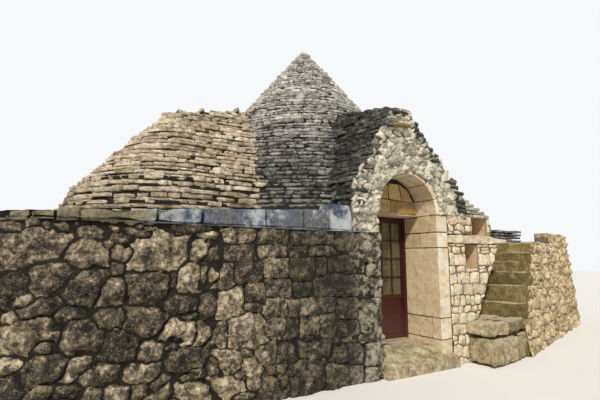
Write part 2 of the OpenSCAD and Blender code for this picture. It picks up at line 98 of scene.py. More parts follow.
LAST_STEP = FIRST_STEP + GOING * 6
STAIR_W = 0.8
STAIR_WALL_L = 5.2
STAIR_WALL_T = 0.45
PARAPET_S = 3.25
PARAPET_H = 0.25
BATTER = 0.08
TERRACE_Z = 1.94
TERRACE_BACK = -0.9
STAIR_FOOT = np.array([2.08, -3.39])
STAIR_TURN = math.radians(17.5)
ALONG = np.array([math.cos(STAIR_TURN), math.sin(STAIR_TURN)])
INWARD = np.array([-ALONG[1], ALONG[0]])

# How fitted stones stand in a wall face, in metres: the joint's half width, the width of the
# rounded edge, and how far a stone stands out, bulges, differs from the next and is rough
FIELD_FACE = dict(gap=0.008, edge=0.055, rise=0.034, bulge=0.012, uneven=0.016, rough=0.016,
                  warp=0.03, loose=1.6)
NICHE_FACE = dict(gap=0.002, edge=0.024, rise=0.018, bulge=0.008, uneven=0.012, rough=0.010,
                  warp=0.018, loose=1.6)
HEAD_FACE = dict(gap=-0.003, edge=0.014, rise=0.022, bulge=0.004, uneven=0.006, rough=0.007,
                 warp=0.03, loose=2.8, chips=0.2)

# The stage: the photograph's camera, worked out from its level and upright lines, and the sun
PHOTO_PIXELS = 600
FOCAL_PIXELS = 418.289
SENSOR = 36.0
CAMERA_SPOT = (-4.6236, -7.4851, 1.5931)
CAMERA_VIEW = (0.51268, 0.84687, 0.14130)
STAGE_HALF = 60.0
SUN_TURN = (math.radians(46), 0, math.radians(-42))
SUN_ENERGY = 3.25
SUN_ANGLE = math.radians(4)
SUN_COLOUR = (1.0, 0.95, 0.86)
SKY_LIGHT = (0.93, 0.96, 1.0, 1)
SKY_STRENGTH = 0.40
SKY_SHOWN = (0.93, 0.94, 0.95, 1)


# The front wall's stones: place along the wall (the entrance axis is 0, and the rounded
# corner is unrolled), height, half length, half height, turn, and how square they are
FRONT_STONES = [
    (-4.77, 1.70, 0.36, 0.15, 0.26, 3.2), (-4.27, 1.65, 0.19, 0.11, -0.05, 2.6),
    (-4.24, 1.85, 0.13, 0.06, -0.04, 2.6), (-4.00, 1.82, 0.12, 0.05, -0.20, 2.6),
    (-3.80, 1.85, 0.12, 0.05, -0.22, 2.6), (-3.98, 1.66, 0.10, 0.07, -0.27, 2.6),
    (-4.10, 1.74, 0.05, 0.04, 0.02, 2.4), (-3.61, 1.66, 0.26, 0.18, 0.01, 5),
    (-3.13, 1.69, 0.18, 0.11, 0.01, 4), (-3.99, 1.51, 0.06, 0.08, -0.01, 2.6),
    (-4.56, 1.42, 0.18, 0.13, 0.08, 3), (-4.87, 1.37, 0.12, 0.10, -0.00, 3),
    (-4.26, 1.33, 0.18, 0.13, 0.24, 3.2), (-4.05, 1.28, 0.13, 0.12, 0.38, 3.4),
    (-3.70, 1.31, 0.19, 0.16, -0.03, 3.2), (-3.25, 1.39, 0.17, 0.15, -0.02, 5),
    (-3.47, 1.36, 0.04, 0.12, -0.03, 4), (-2.98, 1.42, 0.10, 0.14, -0.02, 4),
    (-3.37, 1.13, 0.18, 0.09, 0.02, 3), (-3.04, 1.10, 0.12, 0.15, -0.06, 3),
    (-4.62, 1.17, 0.19, 0.07, 0.24, 3), (-4.92, 1.21, 0.06, 0.06, 0.01, 2.6),
    (-4.88, 1.10, 0.07, 0.06, 0.17, 2.6), (-4.38, 1.09, 0.12, 0.07, -0.01, 3),
    (-4.05, 1.03, 0.12, 0.10, -0.07, 3.6), (-3.73, 0.99, 0.18, 0.14, -0.28, 2.8),
    (-4.70, 0.93, 0.21, 0.14, 0.11, 2.8), (-4.25, 0.89, 0.16, 0.13, -0.02, 4),
    (-3.94, 0.77, 0.16, 0.14, 0.24, 3.2), (-3.37, 0.85, 0.20, 0.10, -0.09, 3),
    (-3.26, 0.99, 0.10, 0.04, -0.07, 3), (-3.04, 0.80, 0.15, 0.13, -0.09, 4),
    (-3.64, 0.68, 0.14, 0.09, -0.11, 3), (-3.46, 0.70, 0.08, 0.04, 0.14, 2.6),
    (-3.26, 0.56, 0.22, 0.10, 0.12, 2.8), (-2.97, 0.49, 0.11, 0.11, -0.12, 3),
    (-4.58, 0.84, 0.08, 0.07, -0.08, 2.6), (-4.57, 0.62, 0.16, 0.11, 0.43, 3),
    (-4.31, 0.62, 0.16, 0.06, 0.90, 3), (-4.11, 0.53, 0.19, 0.09, 0.13, 2.8),
    (-3.72, 0.49, 0.19, 0.10, 0.08, 3), (-3.53, 0.40, 0.14, 0.05, 0.49, 2.8),
    (-3.19, 0.41, 0.12, 0.05, 0.17, 2.6), (-3.10, 0.25, 0.23, 0.10, -0.07, 3),
    (-4.84, 0.67, 0.11, 0.06, 0.49, 2.6), (-4.82, 0.49, 0.10, 0.09, -0.02, 3),
    (-4.58, 0.43, 0.12, 0.05, 0.28, 2.8), (-4.36, 0.42, 0.10, 0.06, -0.15, 2.6),
    (-4.14, 0.36, 0.09, 0.06, -0.15, 2.6), (-3.95, 0.34, 0.11, 0.07, -0.29, 3),
    (-3.54, 0.26, 0.11, 0.06, 0.50, 2.8), (-3.74, 0.32, 0.09, 0.06, 0.02, 3),
    (-4.78, 1.22, 0.09, 0.04, 0.14, 2.6), (-4.95, 1.89, 0.12, 0.04, -0.01, 2.6),
    (-4.73, 1.92, 0.07, 0.04, 0.02, 2.6), (-4.62, 1.91, 0.06, 0.03, 0.03, 2.4),
    (-4.49, 1.90, 0.07, 0.04, 0.04, 2.6), (-3.31, 1.93, 0.22, 0.05, 0.04, 4),
    (-3.09, 1.85, 0.13, 0.04, 0.03, 4), (-4.48, 0.99, 0.04, 0.03, -0.08, 2.4),
    (-3.98, 0.93, 0.04, 0.03, -0.08, 2.4), (-3.87, 0.85, 0.03, 0.06, -0.09, 2.6),
    (-3.41, 0.78, 0.10, 0.03, -0.09, 3), (-2.71, 1.87, 0.21, 0.09, 0.19, 4),
    (-2.28, 1.87, 0.22, 0.10, 0.03, 5), (-1.94, 1.86, 0.11, 0.09, 0.03, 5),
    (-1.60, 1.89, 0.23, 0.11, 0.03, 5), (-1.21, 1.87, 0.15, 0.13, 0.03, 4),
    (-3.07, 1.68, 0.12, 0.11, 0.01, 5), (-2.72, 1.66, 0.21, 0.10, 0.01, 5),
    (-2.30, 1.69, 0.20, 0.07, 0.01, 5), (-1.94, 1.70, 0.15, 0.07, 0.01, 5),
    (-1.57, 1.71, 0.22, 0.07, 0.01, 4), (-3.14, 1.41, 0.06, 0.15, -0.02, 5),
    (-2.93, 1.41, 0.14, 0.15, -0.02, 5), (-2.60, 1.45, 0.19, 0.11, -0.01, 5),
    (-2.24, 1.50, 0.17, 0.12, -0.01, 5), (-1.87, 1.47, 0.19, 0.13, -0.01, 5),
    (-1.59, 1.50, 0.08, 0.13, -0.01, 4), (-1.16, 1.51, 0.33, 0.10, -0.06, 4),
    (-2.88, 1.10, 0.22, 0.16, -0.01, 4.5), (-2.52, 1.21, 0.13, 0.12, -0.04, 5),
    (-2.21, 1.26, 0.18, 0.11, -0.03, 5), (-1.87, 1.23, 0.15, 0.09, -0.04, 5),
    (-1.19, 1.26, 0.52, 0.14, -0.03, 5), (-2.54, 1.06, 0.12, 0.06, -0.06, 4),
    (-2.25, 1.03, 0.15, 0.11, -0.06, 5), (-2.00, 1.01, 0.08, 0.10, -0.06, 5),
    (-1.79, 1.02, 0.12, 0.10, -0.06, 5), (-1.51, 1.02, 0.14, 0.10, -0.05, 5),
    (-1.19, 0.96, 0.16, 0.13, -0.06, 4), (-2.99, 0.79, 0.17, 0.14, -0.09, 3.4),
    (-2.64, 0.80, 0.22, 0.18, -0.08, 4), (-2.24, 0.82, 0.11, 0.10, -0.08, 2.6),
    (-2.02, 0.80, 0.10, 0.10, -0.08, 5), (-1.77, 0.78, 0.14, 0.11, -0.08, 5),
    (-1.50, 0.79, 0.13, 0.13, -0.08, 5), (-1.17, 0.71, 0.18, 0.10, -0.08, 5),
    (-0.79, 0.79, 0.18, 0.24, -0.07, 4), (-2.88, 0.50, 0.20, 0.12, -0.12, 3),
    (-2.37, 0.52, 0.14, 0.09, -0.11, 4), (-2.54, 0.40, 0.10, 0.11, -0.12, 3.2),
    (-2.09, 0.50, 0.13, 0.09, -0.11, 4), (-1.81, 0.14, 0.25, 0.19, -0.14, 2.8),
    (-1.69, 0.50, 0.26, 0.09, -0.11, 4), (-1.15, 0.39, 0.28, 0.11, -0.16, 3.4),
    (-1.23, 0.14, 0.33, 0.12, -0.17, 3.4), (-2.92, 0.24, 0.29, 0.10, -0.21, 2.8),
    (-2.51, 0.22, 0.10, 0.06, -0.14, 2.5), (-2.24, 0.13, 0.20, 0.13, -0.15, 3),
    (-2.63, 0.11, 0.15, 0.04, -0.16, 2.6), (-2.67, 0.33, 0.07, 0.05, -0.13, 2.4),
    (-1.26, -0.06, 0.32, 0.07, -0.15, 3), (-0.77, 0.35, 0.15, 0.14, -0.11, 3),
    (-0.80, 0.08, 0.16, 0.10, -0.13, 3), (-0.76, 1.25, 0.06, 0.14, -0.03, 4),
    (-0.80, 1.77, 0.19, 0.21, 0.02, 3.4), (-0.75, 1.45, 0.13, 0.10, -0.01, 3),
]


# Numbers and surfaces

# Large primes that scatter the lattice's whole numbers over a 32 bit word
HASH_PRIMES = np.array([73856093, 19349663, 83492791])
SEED_PRIME = 2654435761
MIX_PRIME = 1274126177
WORD = 0xFFFFFFFF


def noise(points, size, seed=0):
    """Smooth value noise from -1 to 1: numbers hashed from the corners of a cubic lattice of
    the given cell size, blended along each axis by 3f^2 - 2f^3."""
    q = np.asarray(points, float) / size
    base = np.floor(q).astype(np.int64)
    f = q - base
    f = f * f * (3 - 2 * f)
    total = np.zeros(q.shape[:-1])
    for corner in itertools.product((0, 1), repeat=3):
        c = (base + np.array(corner)) * HASH_PRIMES
        h = c[..., 0] ^ c[..., 1] ^ c[..., 2] ^ (seed * SEED_PRIME)
        h = ((h ^ (h >> 13)) * MIX_PRIME) & WORD
        h = (h ^ (h >> 16)) / WORD
        w = np.ones(q.shape[:-1])
        for axis in range(3):
            w = w * (f[..., axis] if corner[axis] else 1 - f[..., axis])
        total += w * h
    return total * 2 - 1


def cone_at(z):
    """Radius of the main cone at height z: a straight taper plus a parabola's bulge."""
    t = (np.asarray(z, float) - EAVES) / (CONE_TIP_Z - EAVES)
    return CONE_R + (CONE_TIP_R - CONE_R) * t + 4 * CONE_BULGE * t * (1 - t)


def alcove_at(t):
    """Half width of the alcove roof at the share t of its height: R(1 - t^1.22)^0.95."""
    t = np.clip(t, 0, 1)
    return ALCOVE_R * np.power(1 - np.power(t, 1.22), 0.95)


def gable_half(edge, h):
    """Half width of the gable at the height h over the eaves, from its drawn edge; 0 above."""
    return np.where(h > edge[-1, 1], 0.0, np.interp(h, edge[:, 1], edge[:, 0]))


def stair_xy(s, n):
    """Plan point of the stair, s along it and n behind its foot line."""
    return (STAIR_FOOT[0] + s * ALONG[0] + n * INWARD[0],
            STAIR_FOOT[1] + s * ALONG[1] + n * INWARD[1])


def make_piece(name, points, faces, material, body="house", tone=None, smooth=False):
    """One mesh object from arrays. tone holds three numbers a point: the stone's own random
    number, how open the surface is (0 in a joint, 1 on a face, and on flat slabs falling towards
    the underside as painted shade), and a second random number."""
    mesh = bpy.data.meshes.new(name)
    mesh.from_pydata(np.asarray(points, float).tolist(), [], [list(f) for f in faces])
    if tone is not None:
        layer = mesh.color_attributes.new("stone", "FLOAT_COLOR", "POINT")
        data = np.ones((len(points), 4), np.float32)
        data[:, :3] = tone
        layer.data.foreach_set("color", data.ravel())
    mesh.polygons.foreach_set("use_smooth", np.full(len(mesh.polygons), smooth))
    mesh.materials.append(material)
    mesh.update()
    piece = bpy.data.objects.new(name, mesh)
    bpy.context.scene.collection.objects.link(piece)
    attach(piece, body)
    return piece


# Rubble sheets

def lay_seeds(width, height, row, length, jitter, rng, power=3.0, turn=0.1):
    """A rubble wall's stones, each as centre, half sizes, turn and squareness: rows of uneven
    height, stones of uneven length, and each centre moved at random by a share jitter of its
    size. Some long stones are split into two thin ones."""
    seeds = []
    v = -row * rng.uniform(0.2, 0.6)
    while v < height + row * 0.5:
        tall = row * rng.uniform(0.72, 1.35)
        u = -length * rng.uniform(0.2, 1.0)
        while u < width + length:
            wide = length * rng.uniform(0.6, 1.5)
            if wide > 1.25 * tall and rng.random() < 0.18:
                for half in (0.25, 0.75):
                    seeds.append((u + wide / 2 + rng.uniform(-jitter, jitter) * wide * 0.3,
                                  v + tall * half, wide / 2, tall / 4))
            else:
                seeds.append((u + wide / 2 + rng.uniform(-jitter, jitter) * wide * 0.5,
                              v + tall / 2 + rng.uniform(-jitter, jitter) * tall * 0.5,
                              wide / 2, tall / 2))
            u += wide
        v += tall
    seeds = np.array(seeds)
    extra = np.c_[rng.normal(0, turn, len(seeds)), power * rng.uniform(0.8, 1.25, len(seeds))]
    return np.c_[seeds, extra]


def between(placed, seeds):
    """The seeds whose stones would stand clear of all the placed ones."""
    keep = []
    for seed in seeds:
        du = np.abs(placed[:, 0] - seed[0]) / (placed[:, 2] + 0.7 * seed[2])
        dv = np.abs(placed[:, 1] - seed[1]) / (placed[:, 3] + 0.7 * seed[3])
        keep.append(((du ** 3 + dv ** 3) > 1.0).all())
    return seeds[np.array(keep)]


def find_stones(u, v, warped_u, warped_v, seeds, loose):
    """Which stone each grid point lies in, and how far inside its edge it is, in metres.
    The distance to a stone is the p-norm of the turned offset in half sizes. A stone owns the
    points where that is least. Its edge lies where the two least distances agree, and at
    most as far out as loose, in half sizes."""
    first = np.full((len(v), len(u)), 9.0)
    second = np.full((len(v), len(u)), 9.0)
    owner = np.zeros((len(v), len(u)), int)
    for k, (cu, cv, su, sv, turn, power) in enumerate(seeds):
        c, t = math.cos(turn), math.sin(turn)
        reach_u = 2.4 * (abs(c) * su + abs(t) * sv) + 0.05
        reach_v = 2.4 * (abs(t) * su + abs(c) * sv) + 0.05
        i0, i1 = np.searchsorted(v, (cv - reach_v, cv + reach_v))
        j0, j1 = np.searchsorted(u, (cu - reach_u, cu + reach_u))
        if i0 >= i1 or j0 >= j1:
            continue
        part = (slice(i0, i1), slice(j0, j1))
        du, dv = warped_u[part] - cu, warped_v[part] - cv
        d = (np.abs((du * c + dv * t) / su) ** power
             + np.abs((dv * c - du * t) / sv) ** power) ** (1 / power)
        nearer = d < first[part]
        second[part] = np.where(nearer, first[part], np.minimum(second[part], d))
        owner[part] = np.where(nearer, k, owner[part])
        first[part] = np.minimum(first[part], d)
    size = np.minimum(seeds[:, 2], seeds[:, 3])[owner]
    return owner, np.minimum((second - first) * 0.5, loose - first) * size, first


def chipped(du, dv, size, owner, count, rng):
    """Height of broken facets over each stone: the least of three planes that slope down
    outwards from near the stone's middle, each in its own direction."""
    height = np.zeros(du.shape)
    start = rng.uniform(0, 2 * math.pi, count)
    for k in range(3):
        angle = (start + 2.1 * k + rng.uniform(-0.5, 0.5, count))[owner]
        slope = rng.uniform(0.10, 0.42, count)[owner]
        reach = rng.uniform(0.15, 0.7, count)[owner] * size
        outward = du * np.cos(angle) + dv * np.sin(angle)
        height = np.minimum(height, (reach - outward) * slope)
    return height


# How far the joints sink behind a wall face, and how far apart two stones' own noise lies
SINK = 0.012
SPREAD = 90


def at(value, u):
    """A number, or a function's value along the wall."""
    return value(u) if callable(value) else value


def rubble_sheet(name, width, height, place, seeds, material, slot, step=0.016, limit=None,
                 gap=0.008, edge=0.05, rise=0.035, bulge=0.012, uneven=0.014, rough=0.006,
                 warp=0.02, loose=1.25, chips=0.6, seed=1):
    """A wall face of fitted stones as one displaced grid. Each stone rises from its joint by
    a quarter circle about as wide as edge, then bulges, tilts, is chipped in facets and
    roughens on its own. place(u, v) gives the wall point and its outward normal; limit(u, v)
    is the distance to the outline, positive inside; gap, edge and warp may be functions of u.
    Points that stay in the joints sink behind the wall and their faces are left out."""
    rng = np.random.default_rng(seed)
    u = np.linspace(0, width, max(2, int(width / step) + 1))
    v = np.linspace(0, height, max(2, int(height / step) + 1))
    gu, gv = np.meshgrid(u, v)
    flat = np.stack([gu, gv, np.full_like(gu, seed * 7.3)], -1)
    warp = at(warp, gu)
    wu = gu + warp * noise(flat, 0.13, seed) + 0.45 * warp * noise(flat, 0.045, seed + 1)
    wv = gv + warp * noise(flat, 0.13, seed + 2) + 0.45 * warp * noise(flat, 0.045, seed + 3)
    owner, inside, first = find_stones(u, v, wu, wv, seeds, loose)
    if limit is not None:
        inside = np.minimum(inside, limit(gu, gv))
    count = len(seeds)
    edge = at(edge, gu) * rng.uniform(0.55, 1.5, count)[owner]
    inside = inside - at(gap, gu) * (1.0 + 0.8 * noise(flat, 0.3, seed + 8))
    reach = np.clip(inside / edge, 0, 1)
    open_face = np.sqrt(np.clip(1 - (1 - reach) ** 2, 0, 1))
    size = np.minimum(seeds[:, 2], seeds[:, 3])[owner]
    du, dv = gu - seeds[owner, 0], gv - seeds[owner, 1]
    lift = rng.uniform(-1, 1, count)[owner]
    body = rise + uneven * lift + bulge * (1 - np.clip(first, 0, 1) ** 2)
    body += 0.09 * (rng.uniform(-1, 1, count)[owner] * du + rng.uniform(-1, 1, count)[owner] * dv)
    body += chips * chipped(du, dv, size, owner, count, rng)
    own = flat + lift[..., None] * SPREAD
    body += rough * (1.1 * noise(own, 0.09, seed + 4) + 0.8 * noise(own, 0.042, seed + 5))
    body += rough * 0.5 * noise(flat, 0.021, seed + 6)
    out = -SINK + (SINK + np.maximum(body, 0.004)) * open_face
    spot, normal = place(gu, gv)
    points = (spot + normal * out[..., None]).reshape(-1, 3)
    nv, nu = gu.shape
    base = (np.arange(nv - 1)[:, None] * nu + np.arange(nu - 1)).ravel()
    quads = np.stack([base, base + 1, base + nu + 1, base + nu], -1)
    shown = (out.ravel()[quads] > -SINK * 0.8).any(1)
    quads = quads[shown]
    used, inverse = np.unique(quads, return_inverse=True)
    quads = inverse.reshape(-1, 4)
    tone = np.stack([rng.random(count)[owner], open_face, rng.random(count)[owner]], -1)
    return make_piece(name, points[used], quads, material,
                      tone=tone.reshape(-1, 3)[used], smooth=True)


def flat_face(origin, along, up=(0, 0, 1), lean=0.0):
    """Placer of a flat wall face; the outward normal is along x up. lean moves the face
    inwards for each metre of height."""
    origin, along, up = (np.array(a, float) for a in (origin, along, up))
    normal = np.cross(along, up)

    def place(u, v):
        spot = origin + u[..., None] * along + v[..., None] * (up - normal * lean)
        return spot, np.broadcast_to(normal, spot.shape)
    return place


def plan_path(points, radii):
    """Placer of a wall that follows a plan line of straight runs and rounded corners, walked
    with the outside on the right. Returns it and the line's length."""
    spots = [np.array(p, float) for p in points]
    line = [spots[0]]
    for k in range(1, len(spots) - 1):
        a, b, c = spots[k - 1], spots[k], spots[k + 1]
        r = radii[k]
        if r <= 0:
            line.append(b)
            continue
        d0 = (a - b) / np.linalg.norm(a - b)
        d1 = (c - b) / np.linalg.norm(c - b)
        start, end = b + d0 * r, b + d1 * r
        middle = b + (d0 + d1) * r
        for t in np.linspace(0, math.pi / 2, 13):
            line.append(middle + (start - middle) * math.cos(t) + (end - middle) * math.sin(t))
    line.append(spots[-1])
    line = np.array(line)
    run = np.r_[0, np.cumsum(np.linalg.norm(np.diff(line, axis=0), axis=1))]

    def place(u, v):
        x = np.interp(u, run, line[:, 0])
        y = np.interp(u, run, line[:, 1])
        d = 0.02
        dx = np.interp(u + d, run, line[:, 0]) - np.interp(u - d, run, line[:, 0])
        dy = np.interp(u + d, run, line[:, 1]) - np.interp(u - d, run, line[:, 1])
        size = np.hypot(dx, dy) + 1e-9
        spot = np.stack([x, y, v], -1)
        return spot, np.stack([dy / size, -dx / size, np.zeros_like(dx)], -1)
    return place, run[-1]


def inside_polygon(outline):
    """Distance to a polygon's sides, positive inside it, as a function of arrays u and v."""
    a = np.array(outline, float)
    b = np.roll(a, -1, axis=0)

    def distance(u, v):
        best = np.full(u.shape, 1e9)
        crossings = np.zeros(u.shape, int)
        for p, q in zip(a, b):
            e = q - p
            t = np.clip(((u - p[0]) * e[0] + (v - p[1]) * e[1]) / max(e @ e, 1e-12), 0, 1)
            best = np.minimum(best, np.hypot(u - p[0] - t * e[0], v - p[1] - t * e[1]))
            spans = (p[1] > v) != (q[1] > v)
            x = p[0] + (v - p[1]) / (e[1] if e[1] else 1e-12) * e[0]
            crossings += (spans & (u < x)).astype(int)
        return np.where(crossings % 2 == 1, best, -best)
    return distance


def corner_limit(x, y, cx, cy, r):
    """Distance inside a quarter circle of radius r round (cx, cy), and far inside where the
    point isn't in the corner's own quarter."""
    beyond = (np.sign(cx) * (x - cx) > 0) & (np.sign(cy) * (y - cy) > 0)
    return np.where(beyond, r - np.hypot(x - cx, y - cy), 9.0)


# Slabs and blocks

def slab_points(centre, outward, width, depth, thick, pitch, rng, fronts, levels):
    """Points of many flat stones at once. Each is a plan with two corners at the back and a
    front edge of several points, broken at random, repeated at each level, pitched so that
    its front hangs down. A level is a share of the thickness from the middle and a width.
    centre is the middle of the front edge."""
    count = len(centre)
    t = np.linspace(0.5, -0.5, fronts)
    x = np.r_[-0.5, 0.5, t * 1.04]
    y = np.r_[-1.0, -1.0, -0.20 * np.abs(2 * t) ** 4]
    x = np.broadcast_to(x, (count, fronts + 2)).copy()
    y = np.broadcast_to(y, (count, fronts + 2)).copy() * depth[:, None]
    x[:, 2:] += rng.uniform(-0.25, 0.25, (count, fronts)) / fronts
    y[:, 2:] += rng.uniform(-0.026, 0.014, (count, fronts))
    out = np.stack([outward[:, 0], outward[:, 1], np.zeros(count)], -1)
    side = np.stack([-out[:, 1], out[:, 0], np.zeros(count)], -1)
    nose = out * np.cos(pitch)[:, None] - np.array([0, 0, 1.0]) * np.sin(pitch)[:, None]
    up = np.cross(nose, side)
    layers = []
    for level, wide in levels:
        a = x * wide * width[:, None]
        b = y - (1 - wide) * 0.3 * thick[:, None]
        b[:, 2:] += rng.uniform(-0.010, 0.006, (count, fronts))
        h = level * thick[:, None] * (1 + rng.uniform(-0.22, 0.22, x.shape))
        layers.append(centre[:, None] + side[:, None] * a[..., None] + nose[:, None] * b[..., None]
                      + up[:, None] * h[..., None])
    return np.concatenate(layers, 1)


def slab_faces(count, ring, levels):
    """Faces of the stones of slab_points: rings of sides, and the two flat faces."""
    one = []
    for low in range(0, ring * (levels - 1), ring):
        one += [(low + k, low + (k + 1) % ring, low + ring + (k + 1) % ring, low + ring + k)
                for k in range(ring)]
    top = ring * (levels - 1)
    one += [tuple(range(ring - 1, -1, -1)), tuple(range(top, top + ring))]
    return [tuple(i + ring * levels * n for i in f) for n in range(count) for f in one]


class SlabHeap:
    """Collects flat stones, and makes them one piece."""
    LEVELS = {3: ((-0.5, 0.93), (0.05, 1.0), (0.5, 0.95)),
              4: ((-0.5, 0.92), (-0.2, 1.0), (0.2, 0.985), (0.5, 0.93))}
    # Openness of each level, from the underside up: the lower levels take the joint's colour,
    # painted shade with some grime under the slab above.
    SHADED_OPENNESS = {3: (0.10, 0.62, 1.0), 4: (0.08, 0.45, 0.9, 1.0)}

    def __init__(self, seed, ragged=0.014, fronts=5, levels=3, thinnest=0.6):
        self.rng = np.random.default_rng(seed)
        self.ragged = ragged
        self.thinnest = thinnest
        self.fronts = fronts
        self.levels = levels
        self.points = []
        self.tones = []

    def lay(self, centre, outward, width, depth, thick, pitch):
        if not len(centre):
            return
        rng = self.rng
        pts = slab_points(np.asarray(centre), np.asarray(outward), width, depth, thick, pitch,
                          rng, self.fronts, self.LEVELS[self.levels])
        self.points.append(pts)
        tone = np.zeros((*pts.shape[:2], 3))
        tone[..., 0] = rng.random((len(pts), 1))
        tone[..., 2] = rng.random((len(pts), 1))
        tone[..., 1] = np.repeat(self.SHADED_OPENNESS[self.levels], self.fronts + 2)
        self.tones.append(tone)

    def course(self, line, outward, z, wide, thick, depth, pitch=0.12, keep=None):
        """One course along a plan line: stones of uneven width fill its whole length. depth
        may be one number or one for each point of the line."""
        rng = self.rng
        run = np.r_[0, np.cumsum(np.linalg.norm(np.diff(line, axis=0), axis=1))]
        total = run[-1]
        if total < wide * 0.5:
            return
        count = max(1, int(total / wide))
        widths = rng.uniform(0.5, 1.55, count)
        widths *= total / widths.sum()
        mid = np.cumsum(widths) - widths / 2
        spot = np.stack([np.interp(mid, run, line[:, k]) for k in (0, 1)], -1)
        normal = np.stack([np.interp(mid, run, outward[:, k]) for k in (0, 1)], -1)
        normal /= np.linalg.norm(normal, axis=1)[:, None] + 1e-9
        turn = rng.normal(0, 0.05, count)
        c, s = np.cos(turn), np.sin(turn)
        facing = np.stack([normal[:, 0] * c - normal[:, 1] * s,
                           normal[:, 0] * s + normal[:, 1] * c], -1)
        t = thick * rng.uniform(self.thinnest, 1.0, count)
        centre = np.c_[spot + normal * rng.uniform(-1, 1, count)[:, None] * self.ragged,
                       z + rng.uniform(-0.5, 0.5, count) * (thick - t)]
        ok = np.ones(count, bool) if keep is None else keep(centre)
        deep = np.interp(mid, run, np.broadcast_to(depth, run.shape))
        pitches = pitch + rng.normal(0, 0.04, count)
        self.lay(centre[ok], facing[ok], (widths * 0.985 - 0.004)[ok], deep[ok], t[ok],
                 pitches[ok])

    def build(self, name, material, slot):
        pts = np.concatenate(self.points)
        return make_piece(name, pts.reshape(-1, 3),
                          slab_faces(len(pts), self.fronts + 2, self.levels), material,
                          tone=np.concatenate(self.tones).reshape(-1, 3))


def block_grid(n):
    """The skin of a cube of n cuts along each axis: the cut numbers of its points, and its
    faces."""
    i = np.stack(np.meshgrid(*[np.arange(n)] * 3, indexing="ij"), -1).reshape(-1, 3)
    skin = ((i == 0) | (i == n - 1)).any(1)
    index = np.full(n ** 3, -1)
    index[skin] = np.arange(skin.sum())
    index = index.reshape(n, n, n)
    faces = []
    for side, flip in ((0, False), (n - 1, True)):
        for axis in range(3):
            wall = np.take(index, side, axis=axis)
            a, b, c, d = wall[:-1, :-1], wall[:-1, 1:], wall[1:, 1:], wall[1:, :-1]
            if flip != (axis == 1):
                b, d = d, b
            faces.append(np.stack([a, b, c, d], -1).reshape(-1, 4))
    return i[skin], np.concatenate(faces)


class BlockHeap:
    """Collects worn blocks, each given by its eight corners, and makes them one piece. A
    block is a gridded cube, with finer cuts near its edges, put between its corners. Its
    edges are rounded by the distance from an inner box, and its skin is pushed along its
    normal by noise of three sizes."""

    def __init__(self, seed, levels=9, rounding=0.03, rough=0.006):
        self.rng = np.random.default_rng(seed)
        self.cells, self.faces = block_grid(levels)
        self.levels = levels
        self.rounding = rounding
        self.rough = rough
        self.points = []
        self.tones = []

    def put(self, corners, rough=None, tone=None):
        """corners: eight points, the lower four in order round, then the upper four. rough
        is the depth of the noise, and tone the block's two random numbers."""
        amp = self.rough if rough is None else rough
        c = np.array(corners, float)
        edges = np.stack([c[1] - c[0], c[3] - c[0], c[4] - c[0]])
        size = np.linalg.norm(edges, axis=1) / 2
        r = min(self.rounding, 0.45 * size.min())
        half = (self.levels - 1) // 2
        q = np.zeros((len(self.cells), 3))
        for k in range(3):
            near = np.array([0, 0.3, 0.8]) * min(r, 0.3 * size[k])
            inner = np.linspace(1.6 * min(r, 0.3 * size[k]), size[k], half - 2)
            cuts = np.r_[near, inner]
            cuts = np.r_[cuts - size[k], size[k] - cuts[-2::-1]]
            q[:, k] = cuts[self.cells[:, k]]
        edge = np.sort(size - np.abs(q), axis=1)[:, 1]
        core = np.clip(q, -(size - r), size - r)
        away = q - core
        length = np.linalg.norm(away, axis=1)[:, None] + 1e-9
        away /= length
        q = (core + away * np.minimum(length, r)) / size
        w = [(1 - q[:, 0]) * (1 - q[:, 1]), (1 + q[:, 0]) * (1 - q[:, 1]),
             (1 + q[:, 0]) * (1 + q[:, 1]), (1 - q[:, 0]) * (1 + q[:, 1])]
        low = sum(wk[:, None] * ck for wk, ck in zip(w, c[:4])) / 4
        high = sum(wk[:, None] * ck for wk, ck in zip(w, c[4:])) / 4
        t = ((q[:, 2] + 1) / 2)[:, None]
        p = low * (1 - t) + high * t
        normal = away @ (edges / (2 * size[:, None]))
        kind = self.rng.random(2) if tone is None else np.array(tone)
        spot = p + self.rng.uniform(0, 50)
        push = noise(spot, 0.30, 2) + 0.8 * noise(spot, 0.13, 3) + 0.5 * noise(spot, 0.055, 4)
        self.points.append(p + normal * (amp * (push - 1.0))[:, None])
        self.tones.append(np.stack([np.full(len(p), kind[0]), np.clip(edge / 0.013, 0, 1),
                                    np.full(len(p), kind[1])], -1))

    def box(self, low, high, **kw):
        (x0, y0, z0), (x1, y1, z1) = low, high
        self.put([(x0, y0, z0), (x1, y0, z0), (x1, y1, z0), (x0, y1, z0),
                  (x0, y0, z1), (x1, y0, z1), (x1, y1, z1), (x0, y1, z1)], **kw)

    def prism(self, plan, z0, z1, **kw):
        """A block on four plan points, given anticlockwise."""
        self.put([(x, y, z0) for x, y in plan] + [(x, y, z1) for x, y in plan], **kw)

    def build(self, name, material, slot, body="house"):
        count = len(self.cells)
        faces = np.concatenate([self.faces + count * n for n in range(len(self.points))])
        return make_piece(name, np.concatenate(self.points), faces, material, body=body,
                          tone=np.concatenate(self.tones), smooth=True)


# Materials

